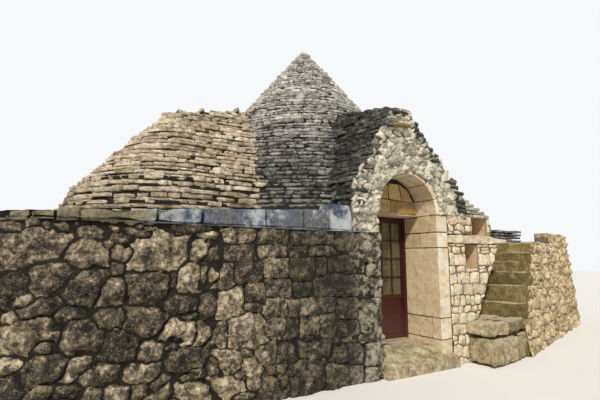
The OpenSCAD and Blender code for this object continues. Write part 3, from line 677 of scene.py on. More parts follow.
class Value:
    """A node's output socket that Python's operators work on."""

    def __init__(self, paint, socket):
        self.paint = paint
        self.socket = socket

    def math(self, operation, other=None, swap=False, clamp=False):
        values = (other, self) if swap else (self, other)
        inputs = {k: v for k, v in enumerate(values) if v is not None}
        settings = {"operation": operation, "use_clamp": clamp}
        return self.paint.node("ShaderNodeMath", settings, inputs)

    def __add__(self, other):
        return self.math("ADD", other)

    def __sub__(self, other):
        return self.math("SUBTRACT", other)

    def __mul__(self, other):
        return self.math("MULTIPLY", other)

    __radd__ = __add__
    __rmul__ = __mul__

    def __rsub__(self, other):
        return self.math("SUBTRACT", other, swap=True)

    def clamp(self):
        return self.math("ADD", 0.0, clamp=True)

    def step(self, low, high):
        """0 below low, 1 above high, smooth between."""
        return self.paint.node("ShaderNodeMapRange", {"interpolation_type": "SMOOTHSTEP"},
                               {"Value": self, "From Min": low, "From Max": high})


class Paint:
    """A node material with one Principled shader, built by expressions."""

    def __init__(self, name, roughness=0.9, **constants):
        self.material = bpy.data.materials.new(name)
        self.material.use_nodes = True
        self.tree = self.material.node_tree
        self.tree.nodes.clear()
        output = self.tree.nodes.new("ShaderNodeOutputMaterial")
        self.shader = self.tree.nodes.new("ShaderNodeBsdfPrincipled")
        self.tree.links.new(self.shader.outputs[0], output.inputs["Surface"])
        self.shader.inputs["Roughness"].default_value = roughness
        for key, value in constants.items():
            self.shader.inputs[key.replace("_", " ")].default_value = value
        self.place = self.node("ShaderNodeTexCoord", output="Object")
        self.axes = self.node("ShaderNodeSeparateXYZ", inputs={0: self.place}, output=None)

    def node(self, kind, settings=None, inputs=None, output=0):
        """Adds a node: its settings first, then values or links of its sockets."""
        node = self.tree.nodes.new(kind)
        for key, value in (settings or {}).items():
            if key == "stops":
                ramp = node.color_ramp
                while len(ramp.elements) > 1:
                    ramp.elements.remove(ramp.elements[-1])
                for n, (where, colour) in enumerate(value):
                    stop = ramp.elements[0] if n == 0 else ramp.elements.new(where)
                    stop.position = where
                    stop.color = (*colour, 1.0)
            else:
                setattr(node, key, value)
        for key, value in (inputs or {}).items():
            socket = node.inputs[key]
            if isinstance(value, Value):
                self.tree.links.new(value.socket, socket)
            elif hasattr(socket.default_value, "__len__") and len(socket.default_value) == 4:
                socket.default_value = (*value, 1.0) if len(value) == 3 else value
            else:
                socket.default_value = value
        if output is None:
            return [Value(self, out) for out in node.outputs]
        return Value(self, node.outputs[output])

    def feed(self, socket, value):
        self.tree.links.new(value.socket, self.shader.inputs[socket])

    def noise(self, scale, detail=4.0, rough=0.55, stretch=None, shift=0.0):
        """Noise of about one metre over scale, on the object's own coordinates."""
        vector = self.place
        if stretch or shift:
            vector = self.node("ShaderNodeMapping", inputs={
                "Vector": self.place, "Location": (shift, shift * 0.7, shift * 1.3),
                "Scale": stretch or (1, 1, 1)})
        return self.node("ShaderNodeTexNoise", inputs={
            "Vector": vector, "Scale": scale, "Detail": detail, "Roughness": rough})

    def ramp(self, value, stops):
        return self.node("ShaderNodeValToRGB", {"stops": stops}, {"Fac": value})

    def mix(self, amount, a, b):
        """Colour a, moved to colour b by the amount."""
        return self.node("ShaderNodeMix", {"data_type": "RGBA"}, {0: amount, 6: a, 7: b}, output=2)

    def stone(self):
        """The piece's own stone attribute: random number, openness, second random number."""
        colour = self.node("ShaderNodeAttribute", {"attribute_name": "stone"}, output="Color")
        return self.node("ShaderNodeSeparateColor", inputs={0: colour}, output=None)

    def facing(self):
        """The surface's normal, as three numbers from -1 to 1."""
        normal = self.node("ShaderNodeNewGeometry", output="Normal")
        return self.node("ShaderNodeSeparateXYZ", inputs={0: normal}, output=None)

    def bump(self, height, strength=0.5, distance=0.01):
        normal = self.node("ShaderNodeBump", inputs={
            "Strength": strength, "Distance": distance, "Height": height})
        self.feed("Normal", normal)

    def finish(self, colour, roughness=None):
        self.feed("Base Color", colour)
        if roughness is not None:
            self.feed("Roughness", roughness)
        return self.material


def stone_paint(name, stops, joint, stain, stain_amount, lichen=None, lichen_amount=0.0,
                worn=None, grain=1.0, weathering_and_shade=None, skin=None, indoors=None, pale=None):
    """Limestone: each stone takes its own tone from the ramp, varied by noise of four sizes,
    darkened in the gaps to the joint's colour, which also stands as painted shade in deep joints
    and under the slabs, and stained and grown with lichen. weathering_and_shade gives an axis,
    where along it the darkening is fullest and where it ends, and a colour; on the front wall
    this darkening is painted shade, on the main cone partly so. skin gives the same for a sharp
    change of colour, and pale for one that shows through in patches. worn is the colour of
    trodden tops. indoors is a colour pair for the faces that look towards the house's axis. A
    piece with no stones of its own has no joint colour."""
    paint = Paint(name, roughness=0.92, Specular_IOR_Level=0.18)
    broad = paint.noise(2.2, 3.0)
    patchy = paint.noise(8.5, 5.0, 0.6, shift=6.0)
    fine = paint.noise(27.0, 6.0, 0.68)
    speck = paint.noise(80.0, 3.0, 0.7, shift=3.1)
    vary = (patchy - 0.5) * 1.25 * grain + (fine - 0.5) * 1.2 * grain + (broad - 0.5) * 0.4
    if joint:
        own, openness, other = paint.stone()
        shade = own * 0.44 + vary + 0.28
    else:
        shade = vary + 0.5
    colour = paint.ramp(shade, stops)
    colour = paint.mix(speck.step(0.56, 0.70) * 0.45 * grain, colour, stops[-1][1])
    blotch = paint.noise(7.0, 8.0, 0.72, shift=8.0).step(0.52, 0.58)
    if joint:
        blotch = (blotch + (other - 0.6) * 0.5).clamp()
    colour = paint.mix(blotch * stain_amount, colour, stain)
    pit = (1.0 - speck).step(0.58, 0.70)
    colour = paint.mix(pit * 0.45 * grain, colour, stain)
    if lichen:
        growth = paint.noise(8.0, 7.0, 0.74, shift=15.0).step(0.52, 0.60)
        patch = paint.noise(1.3, 2.0, shift=5.0).step(0.4, 0.62)
        colour = paint.mix(growth * patch * lichen_amount, colour, lichen)
    # Darker towards one end of an axis: painted shade on the front wall, partly painted shade on the
    # main cone.
    if weathering_and_shade:
        axis, low, high, dark = weathering_and_shade
        amount = 1.0 - (paint.axes[axis] + broad * 1.2 - 0.6).step(low, high)
        colour = paint.mix(amount * (0.6 + blotch * 0.35), colour, dark)
    if pale:
        axis, low, high, light = pale
        patch = paint.noise(8.0, 7.0, 0.7, shift=31.0).step(0.45, 0.56)
        colour = paint.mix(paint.axes[axis].step(low, high) * patch * 0.8, colour, light)
    if worn:
        top = paint.facing()[2].step(0.55, 0.92) * (0.2 + fine * 1.1)
        colour = paint.mix(top.clamp(), colour, worn)
    if skin:
        axis, low, high, dark = skin
        colour = paint.mix(1.0 - paint.axes[axis].step(low, high), colour, dark)
    if indoors:
        looks = [a * b for a, b in zip(paint.axes[:2], paint.facing()[:2])]
        inner = paint.ramp(shade, [(0.35, indoors[0]), (0.65, indoors[1])])
        colour = paint.mix((looks[0] + looks[1]).step(-0.02, -0.2), colour, inner)
    # The gaps take the joint's colour, which is also painted shade in the deep joints and on the
    # slabs' undersides.
    if joint:
        gap = 1.0 - openness.step(0.05, 0.62)
        colour = paint.mix(gap * 0.92, colour, joint)
    height = patchy * 0.9 + fine * 0.6 + speck * 0.14
    paint.bump(height, 0.9 * grain, 0.028)
    return paint.finish(colour)


def make_paints():
    """All materials of the house, by a short name."""
    tones = bpy.context.scene.trullo_colours
    paints = {}
    paints["field"] = stone_paint(
        "field_stone", [(0.0, (0.018, 0.016, 0.013)), (0.35, (0.085, 0.073, 0.053)),
                        (0.7, (0.215, 0.183, 0.13)), (1.0, (0.6, 0.52, 0.37))],
        (0.010, 0.009, 0.007), (0.026, 0.026, 0.025), 0.7, tuple(tones.lichen), 0.6)
    paints["front"] = stone_paint(
        "front_stone", [(0.0, (0.010, 0.009, 0.008)), (0.34, (0.052, 0.043, 0.032)),
                        (0.60, (0.19, 0.152, 0.103)), (0.85, (0.50, 0.41, 0.275)),
                        (1.0, (0.72, 0.62, 0.43))],
        (0.006, 0.005, 0.004), (0.017, 0.0165, 0.018), 0.75, (0.44, 0.38, 0.20), 0.5,
        # The right part darkens towards the entrance as painted shade of trees, and near the doorway
        # pale patches on it are whitish stone and painted flecks of sunlight.
        grain=1.35, weathering_and_shade=(0, -1.4, -3.0, (0.022, 0.021, 0.020)),
        pale=(0, -1.25, -0.8, (0.42, 0.385, 0.29)))
    paints["wall_head"] = stone_paint(
        "wall_head_stone", [(0.0, (0.05, 0.047, 0.04)), (0.35, (0.17, 0.158, 0.128)),
                            (0.7, (0.34, 0.315, 0.25)), (1.0, (0.60, 0.56, 0.45))],
        (0.02, 0.018, 0.014), (0.07, 0.068, 0.062), 0.6, tuple(tones.lichen), 0.5)
    paints["gable"] = stone_paint(
        "gable_rubble", [(0.0, (0.10, 0.09, 0.068)), (0.3, (0.36, 0.325, 0.25)),
                         (0.6, (0.66, 0.61, 0.49)), (1.0, (0.92, 0.87, 0.74))],
        (0.085, 0.07, 0.048), (0.15, 0.152, 0.125), 0.7, (0.33, 0.33, 0.17), 0.5,
        grain=1.25)
    paints["slab"] = stone_paint(
        "roof_slab", [(0.0, (0.11, 0.104, 0.097)), (0.33, (0.33, 0.313, 0.288)),
                        (0.62, (0.60, 0.577, 0.532)), (1.0, (0.94, 0.918, 0.862))],
        (0.030, 0.027, 0.023), (0.12, 0.115, 0.105), 0.5, (0.40, 0.38, 0.23), 0.3,
        # Darker towards the eaves: lichen and weathering, and partly painted shade.
        weathering_and_shade=(2, 2.9, 4.7, (0.028, 0.030, 0.034)))
    paints["hump_slab"] = stone_paint(
        "alcove_slab", [(0.0, (0.2, 0.15, 0.1)), (0.35, (0.46, 0.375, 0.265)),
                        (0.7, (0.7, 0.6, 0.445)), (1.0, (0.9, 0.83, 0.68))],
        (0.035, 0.027, 0.018), (0.15, 0.12, 0.085), 0.55, (0.42, 0.38, 0.20), 0.35,
        # Darker towards the eaves, below 2.8 m.
        weathering_and_shade=(2, 1.8, 2.8, (0.20, 0.155, 0.10)))
    # Porch roof slabs, dark grey: painted shade over the same kind of stone as the cone's slabs.
    paints["dark_slab"] = stone_paint(
        "porch_slab_painted_shade", [(0.0, (0.016, 0.016, 0.016)), (0.4, (0.048, 0.048, 0.048)),
                        (0.75, (0.115, 0.113, 0.107)), (1.0, (0.34, 0.33, 0.30))],
        (0.014, 0.013, 0.012), (0.045, 0.045, 0.042), 0.55, (0.32, 0.32, 0.18), 0.4)
    paints["niche"] = stone_paint(
        "niche_stone", [(0.0, (0.38, 0.29, 0.18)), (0.4, (0.69, 0.58, 0.4)),
                         (1.0, (0.9, 0.82, 0.65))],
        (0.15, 0.11, 0.065), (0.30, 0.25, 0.175), 0.45, (0.42, 0.39, 0.23), 0.25)
    paints["tan"] = stone_paint(
        "tan_rubble", [(0.0, (0.17, 0.12, 0.06)), (0.38, (0.47, 0.36, 0.20)),
                         (1.0, (0.92, 0.78, 0.53))],
        (0.04, 0.028, 0.016), (0.20, 0.15, 0.085), 0.55, (0.38, 0.33, 0.15), 0.45, grain=1.2)
    paints["step"] = stone_paint(
        "step_stone", [(0.0, (0.062, 0.045, 0.015)), (0.38, (0.16, 0.118, 0.045)),
                         (0.8, (0.30, 0.235, 0.10)), (1.0, (0.50, 0.41, 0.21))],
        (0.05, 0.04, 0.022), (0.10, 0.085, 0.042), 0.5, (0.36, 0.345, 0.14), 0.5,
        worn=(0.56, 0.49, 0.335))
    paints["landing"] = stone_paint(
        "landing_stone", [(0.0, (0.10, 0.075, 0.037)), (0.4, (0.29, 0.23, 0.125)),
                         (1.0, (0.66, 0.57, 0.37))],
        (0.04, 0.03, 0.018), (0.15, 0.125, 0.07), 0.6, (0.40, 0.36, 0.17), 0.5, grain=1.25,
        worn=(0.54, 0.475, 0.33))
    paints["dressed"] = stone_paint(
        "dressed_stone", [(0.0, (0.43, 0.31, 0.165)), (0.45, (0.63, 0.49, 0.29)),
                         (1.0, (0.80, 0.70, 0.51))],
        (0.13, 0.09, 0.05), (0.42, 0.31, 0.19), 0.5, (0.42, 0.24, 0.12), 0.35, grain=0.75,
        pale=(1, -2.985, -2.997, (0.80, 0.755, 0.63)))
    paints["tympanum"] = stone_paint(
        "tympanum_stone", [(0.0, (0.22, 0.13, 0.04)), (0.45, (0.41, 0.265, 0.095)),
                         (1.0, (0.66, 0.49, 0.24))],
        (0.05, 0.036, 0.02), (0.28, 0.20, 0.115), 0.5, grain=0.8)
    paints["niche_inside"] = stone_paint(
        "niche_inside", [(0.0, (0.48, 0.34, 0.185)), (0.5, (0.66, 0.49, 0.29)),
                         (1.0, (0.78, 0.64, 0.44))],
        None, (0.42, 0.29, 0.155), 0.4, grain=0.7,
        skin=(1, -2.998, -2.990, (0.15, 0.11, 0.065)))
    paints["inner"] = stone_paint(
        "inner_stone", [(0.0, (0.36, 0.325, 0.25)), (0.5, (0.58, 0.53, 0.43)),
                        (1.0, (0.74, 0.69, 0.58))],
        None, (0.34, 0.30, 0.24), 0.45)
    # Near black behind the stones and slabs: painted shade in the deep joints and gaps; faces that
    # look into the house take a pale stone colour.
    paints["core"] = stone_paint(
        "wall_joint_shade", [(0.0, (0.008, 0.007, 0.005)), (0.5, (0.018, 0.016, 0.012)),
                       (1.0, (0.05, 0.044, 0.034))],
        None, (0.012, 0.011, 0.009), 0.4, indoors=((0.40, 0.36, 0.28), (0.68, 0.63, 0.52)))
    paints["pale_core"] = stone_paint(
        "pale_joint", [(0.0, (0.09, 0.075, 0.05)), (0.5, (0.17, 0.145, 0.10)),
                       (1.0, (0.34, 0.295, 0.215))],
        None, (0.11, 0.095, 0.065), 0.4)
    # Near black as painted shade in the gable's deep joints and on its sides between the porch
    # slabs; its front face takes the joint's own colour.
    paints["gable_core"] = stone_paint(
        "gable_joint_shade", [(0.0, (0.010, 0.009, 0.008)), (0.5, (0.028, 0.026, 0.023)),
                        (1.0, (0.07, 0.065, 0.056))],
        None, (0.02, 0.02, 0.018), 0.4, skin=(1, -2.996, -2.990, (0.16, 0.135, 0.095)))
    paints["paving"] = stone_paint(
        "paving_stone", [(0.0, (0.13, 0.10, 0.055)), (0.35, (0.34, 0.27, 0.16)),
                         (0.7, (0.56, 0.465, 0.30)), (1.0, (0.78, 0.70, 0.52))],
        None, (0.22, 0.185, 0.115), 0.6, (0.30, 0.285, 0.13), 0.5, grain=1.5)
    paints["flag"] = stone_paint(
        "terrace_flag", [(0.0, (0.20, 0.16, 0.095)), (0.45, (0.45, 0.375, 0.25)),
                         (1.0, (0.72, 0.64, 0.47))],
        (0.06, 0.048, 0.03), (0.25, 0.21, 0.13), 0.5, (0.34, 0.33, 0.17), 0.3)
    paints["whitewash"] = make_whitewash()
    paints["maroon"] = make_maroon(tuple(tones.door))
    paints["pane"] = make_pane()
    paints["iron"] = make_iron()
    return paints


def make_whitewash():
    """Old limewash on blocks: white where it holds, stone where gone, in a painted blue-grey of sky
    shade that is bluest in wet patches.
    """
    paint = Paint("old_whitewash", roughness=0.88, Specular_IOR_Level=0.25)
    own, openness = paint.stone()[:2]
    fine = paint.noise(24.0, 6.0, 0.68)
    bare = paint.ramp(fine, [(0.3, (0.05, 0.053, 0.062)), (0.7, (0.21, 0.21, 0.215))])
    brown = paint.ramp(fine, [(0.3, (0.075, 0.06, 0.035)), (0.7, (0.36, 0.315, 0.215))])
    left = paint.axes[0].step(-3.9, -3.1)
    bare = paint.mix(1.0 - left, bare, brown)
    # The limewash's colours, dark to pale, are painted in the blue-grey of sky shade.
    lime = paint.ramp(paint.noise(5.0, 6.0, 0.65, shift=2.0),
                      [(0.42, (0.065, 0.088, 0.13)), (0.57, (0.43, 0.46, 0.475))])
    patch = paint.noise(1.9, 2.0, stretch=(1.0, 1.0, 0.25), shift=6.0)
    tatter = paint.noise(14.0, 6.0, 0.7, shift=9.0)
    right = paint.axes[0].step(-1.52, -1.42)
    hold = patch * 0.6 + tatter * 0.4 + left * 0.10 + right * 0.10 + own * 0.04
    colour = paint.mix(hold.step(0.565, 0.625), bare, lime)
    # Blue-grey patches: wet stains, deepened as painted sky shade.
    damp_and_sky_shade = paint.noise(2.4, 5.0, 0.6, stretch=(1.0, 1.0, 0.35), shift=11.0).step(0.5, 0.64)
    colour = paint.mix(damp_and_sky_shade * 0.7, colour, (0.10, 0.12, 0.155))
    moss = paint.noise(9.0, 6.0, 0.7, shift=21.0).step(0.5, 0.6) * (1.0 - left)
    colour = paint.mix(moss * 0.6, colour, (0.33, 0.30, 0.14))
    colour = paint.mix((1.0 - openness.step(0.05, 0.6)) * 0.5, colour, (0.08, 0.08, 0.08))
    paint.bump(fine + tatter, 0.8, 0.02)
    return paint.finish(colour)


def make_maroon(colour):
    """Brushed oil paint on wood, dull and streaked along the grain, dusty low down."""
    paint = Paint("maroon_paint", roughness=0.5, Specular_IOR_Level=0.3)
    streak = paint.noise(18.0, 5.0, 0.6, stretch=(5.0, 5.0, 0.35))
    wear = paint.noise(30.0, 5.0, 0.7, shift=4.0)
    base = paint.ramp(streak, [(0.3, tuple(0.6 * c for c in colour)),
                               (0.7, tuple(1.25 * c for c in colour))])
    base = paint.mix(wear.step(0.60, 0.70) * 0.4, base, (0.17, 0.075, 0.052))
    dust = 1.0 - paint.axes[2].step(0.34, 0.95)
    base = paint.mix(dust * (0.12 + wear * 0.25), base, (0.19, 0.09, 0.062))
    paint.bump(streak * 0.6 + wear * 0.4, 0.25, 0.003)
    return paint.finish(base, streak.step(0.2, 0.8) * 0.25 + 0.38)


def make_pane():
    """Dull glass over an olive cloth: the cloth's colour shows, and the glass reflects."""
    paint = Paint("curtained_pane", roughness=0.12, Specular_IOR_Level=0.5)
    fold = paint.noise(9.0, 3.0, 0.5, stretch=(4.0, 1.0, 0.25))
    dirt = paint.noise(14.0, 5.0, 0.6, shift=5.0)
    colour = paint.ramp(fold, [(0.3, (0.05, 0.043, 0.020)), (0.55, (0.105, 0.092, 0.048)),
                               (0.8, (0.185, 0.165, 0.095))])
    colour = paint.mix(dirt.step(0.55, 0.75) * 0.35, colour, (0.30, 0.28, 0.22))
    return paint.finish(colour, dirt.step(0.35, 0.8) * 0.35 + 0.08)


def make_iron():
    """Dark forged iron with rust in patches."""
    paint = Paint("hinge_iron", roughness=0.6)
    rust = paint.noise(60.0, 6.0, 0.7).step(0.5, 0.62)
    colour = paint.mix(rust * 0.7, (0.05, 0.045, 0.04), (0.22, 0.10, 0.045))
    paint.bump(paint.noise(140.0, 4.0), 0.4, 0.002)
    paint.feed("Metallic", 0.75 - rust * 0.55)
    return paint.finish(colour, rust * 0.3 + 0.5)


PAINTS = {}


def paint_node(name, paint):
    """A CAD node keeps its shape and takes a material."""
    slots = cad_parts[name].data.materials
    if len(slots):
        for k in range(len(slots)):
            slots[k] = PAINTS[paint]
    else:
        slots.append(PAINTS[paint])


# Settings

class TrulloSizes(bpy.types.PropertyGroup):
    """Sizes of the stones."""
    cone_course: bpy.props.FloatProperty(
        name="Cone course", description="Height of one course of the main cone's slabs",
        default=0.072, min=0.05, max=0.12, unit="LENGTH")
    cone_slab: bpy.props.FloatProperty(
        name="Cone slab", description="Usual width of the main cone's slabs",
        default=0.23, min=0.15, max=0.5, unit="LENGTH")
    alcove_course: bpy.props.FloatProperty(
        name="Alcove course", description="Height of one course of the alcove roof's slabs",
        default=0.080, min=0.06, max=0.15, unit="LENGTH")
    alcove_slab: bpy.props.FloatProperty(
        name="Alcove slab", description="Usual width of the alcove roof's slabs",
        default=0.33, min=0.2, max=0.6, unit="LENGTH")
    porch_course: bpy.props.FloatProperty(
        name="Porch course", description="Height of one course of the porch roof's slabs",
        default=0.075, min=0.05, max=0.15, unit="LENGTH")
    field_row: bpy.props.FloatProperty(
        name="Field row", description="Usual height of the stones between the front wall's own",
        default=0.30, min=0.15, max=0.5, unit="LENGTH")
    gable_row: bpy.props.FloatProperty(
        name="Gable row", description="Usual height of the gable's stones",
        default=0.115, min=0.06, max=0.3, unit="LENGTH")
    stair_row: bpy.props.FloatProperty(
        name="Stair wall row", description="Usual height of the stair wall's stones",
        default=0.150, min=0.08, max=0.3, unit="LENGTH")


class TrulloColours(bpy.types.PropertyGroup):
    """Colours that a user would change."""
    door: bpy.props.FloatVectorProperty(
        name="Door", description="Colour of the door's paint", subtype="COLOR", size=3,
        default=(0.048, 0.0085, 0.007), min=0.0, max=1.0)
    lichen: bpy.props.FloatVectorProperty(
        name="Lichen", description="Colour of the lichen on the field stones",
        subtype="COLOR", size=3, default=(0.46, 0.42, 0.23), min=0.0, max=1.0)
    ground: bpy.props.FloatVectorProperty(
        name="Ground", description="Colour of the plain floor", subtype="COLOR", size=3,
        default=(0.80, 0.79, 0.77), min=0.0, max=1.0)


# Roofs

# Width and depth of a porch roof slab
PORCH_SLAB = 0.26


def outside_cone(centre, into):
    """True where a stone is outside the main cone, or less than into inside it."""
    return np.hypot(centre[:, 0], centre[:, 1]) > cone_at(centre[:, 2]) - into


def outside_porch(centre):
    """True where a stone is outside the gable and porch roof."""
    h = centre[:, 2] - EAVES - np.maximum(centre[:, 1] + OUTER, 0) * GABLE_SLOPE
    left = gable_half(LEFT_EDGE, h)
    right = gable_half(RIGHT_EDGE, h)
    covered = (centre[:, 0] > -left + 0.03) & (centre[:, 0] < right - 0.03) & (centre[:, 1] < 0)
    return ~(covered & (h < GABLE_H))


def outside_alcove(centre):
    """True where a stone is outside the alcove roof."""
    off = centre[:, :2] - ALCOVE
    s = off @ TO_CONE
    n = off @ ACROSS
    t = (centre[:, 2] - ALCOVE_Z - np.maximum(s, 0) * ALCOVE_SLOPE) / ALCOVE_H
    half = alcove_at(t)
    inside = np.where(s > 0, np.abs(n) < half - 0.03, np.hypot(s, n) < half - 0.03)
    return ~(inside & (t < 1) & (t > -0.2) & (s < 2.4))


class TRULLO_OT_main_cone(bpy.types.Operator):
    """Lay the main cone's slabs in level courses from the eaves to the tip"""
    bl_idname = "trullo.main_cone"
    bl_label = "Main cone slabs"

    def execute(self, context):
        sizes = context.scene.trullo_sizes
        heap = SlabHeap(11, ragged=0.017)
        z = EAVES + 0.03
        angle = np.linspace(0, 2 * math.pi, 181)
        ring = np.stack([np.cos(angle), np.sin(angle)], -1)
        while z < CONE_TIP_Z - 0.02:
            tall = sizes.cone_course * heap.rng.uniform(0.8, 1.22)
            r = float(cone_at(z + tall * 0.3)) + 0.012
            wide = sizes.cone_slab * (0.35 + 0.65 * min(1.0, r / 1.8))
            heap.course(ring * r, ring, z + tall / 2, wide, tall * 0.96, min(0.22, r * 0.9),
                        keep=lambda c: outside_porch(c) & outside_alcove(c))
            z += tall
        heap.build("cone_slabs", PAINTS["slab"], "roof_slabs")
        paint_node("main_cone", "core")
        cap = BlockHeap(5, rounding=0.03, rough=0.004)
        cap.box((-0.085, -0.08, CONE_TIP_Z - 0.005), (0.08, 0.085, CONE_TIP_Z + 0.068))
        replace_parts(cap.build("cone_capstone", PAINTS["slab"], "roof_slabs"), "capstone")
        return {"FINISHED"}


class TRULLO_OT_alcove_roof(bpy.types.Operator):
    """Lay the alcove roof's thicker slabs, and the stones along its ridge"""
    bl_idname = "trullo.alcove_roof"
    bl_label = "Alcove roof slabs"

    def execute(self, context):
        sizes = context.scene.trullo_sizes
        heap = SlabHeap(23, ragged=0.032, fronts=7, levels=4, thinnest=0.66)
        z = ALCOVE_Z + 0.03
        while z < ALCOVE_Z + ALCOVE_H + 0.40:
            tall = sizes.alcove_course * heap.rng.uniform(0.75, 1.25)
            level = z + tall * 0.3 - ALCOVE_Z
            s = np.linspace(0, 1.75, 60)
            half = alcove_at((level - s * ALCOVE_SLOPE) / ALCOVE_H)
            open_s = half > 0.02
            if open_s.sum() > 3:
                s, half = s[open_s], half[open_s]
                local = [np.stack([s[::-1], -half[::-1]], -1)]
                if level < ALCOVE_H * 0.985:
                    r = float(alcove_at(level / ALCOVE_H))
                    turn = np.linspace(-math.pi / 2, -1.5 * math.pi, 40)[1:-1]
                    local.append(np.stack([r * np.cos(turn), r * np.sin(turn)], -1))
                local.append(np.stack([s, half], -1))
                local = np.concatenate(local)
                line = ALCOVE + local[:, :1] * TO_CONE + local[:, 1:] * ACROSS
                reach = np.where(local[:, 0] > 0, np.abs(local[:, 1]), np.hypot(*local.T))
                tangent = np.gradient(line, axis=0)
                normal = np.stack([-tangent[:, 1], tangent[:, 0]], -1)
                normal /= np.linalg.norm(normal, axis=1)[:, None] + 1e-9
                outward = line - ALCOVE - TO_CONE * np.clip(local[:, :1], 0, None)
                flip = np.sign((normal * outward).sum(1))
                normal *= np.where(flip == 0, 1, flip)[:, None]
                heap.course(line + normal * 0.012, normal, z + tall / 2, sizes.alcove_slab,
                            tall * 0.95, np.clip(1.15 * reach, 0.05, 0.30), pitch=0.10,
                            keep=lambda c: outside_cone(c, 0.10))
            z += tall
        ridge = np.arange(0.07, 1.62, 0.12)
        count = len(ridge)
        top = ALCOVE_Z + ALCOVE_H + ridge * ALCOVE_SLOPE - 0.062
        top += heap.rng.uniform(-0.012, 0.012, count)
        centre = np.c_[ALCOVE + ridge[:, None] * TO_CONE + ACROSS * 0.09, top]
        heap.lay(centre, np.tile(ACROSS, (count, 1)), heap.rng.uniform(0.10, 0.17, count),
                 np.full(count, 0.18), heap.rng.uniform(0.04, 0.06, count),
                 heap.rng.normal(0.0, 0.12, count))
        heap.build("alcove_roof_slabs", PAINTS["hump_slab"], "roof_slabs")
        paint_node("alcove_roof", "core")
        return {"FINISHED"}


class TRULLO_OT_porch_roof(bpy.types.Operator):
    """Lay the porch roof's slabs, dark as painted shade, on both slopes and along the ridge"""
    bl_idname = "trullo.porch_roof"
    bl_label = "Porch roof slabs"

    def execute(self, context):
        sizes = context.scene.trullo_sizes
        heap = SlabHeap(31, ragged=0.024, fronts=7, levels=4)
        for way, edge in ((-1, LEFT_EDGE), (1, RIGHT_EDGE)):
            z = EAVES + 0.04
            while z < EAVES + GABLE_H + 0.30:
                tall = sizes.porch_course * heap.rng.uniform(0.8, 1.25)
                s = np.linspace(heap.rng.uniform(-0.055, 0.005), 1.5, 50)
                h = z + tall * 0.3 - EAVES - s * GABLE_SLOPE
                half = gable_half(edge, h)
                ok = (h < edge[-1, 1]) & (half > 0.02)
                if ok.sum() > 4:
                    line = np.stack([way * (half[ok] + 0.028), -OUTER + s[ok]], -1)
                    normal = np.tile([float(way), 0.0], (ok.sum(), 1))
                    heap.course(line, normal, z + tall / 2, PORCH_SLAB, tall * 0.95, PORCH_SLAB,
                                pitch=0.1, keep=lambda c: outside_cone(c, 0.08))
                z += tall
        s = np.arange(0.06, 1.45, 0.13)
        count = len(s)
        for x, way in ((-0.30, -1.0), (0.12, 1.0)):
            across = x + heap.rng.uniform(-0.03, 0.03, count)
            top = EAVES + 1.565 + s * GABLE_SLOPE + heap.rng.uniform(-0.015, 0.02, count)
            heap.lay(np.c_[across, -OUTER + s, top], np.tile([way, 0.0], (count, 1)),
                     heap.rng.uniform(0.14, 0.24, count), np.full(count, 0.30),
                     heap.rng.uniform(0.04, 0.075, count), heap.rng.normal(0.0, 0.08, count))
        heap.build("porch_roof_slabs", PAINTS["dark_slab"], "roof_slabs")
        paint_node("porch_roof", "core")
        return {"FINISHED"}


# Walls

FRONT_PATH = [(HOUSE_LEFT, LEFT_SEAM), (HOUSE_LEFT, -OUTER), (-HALF_DOOR, -OUTER)]


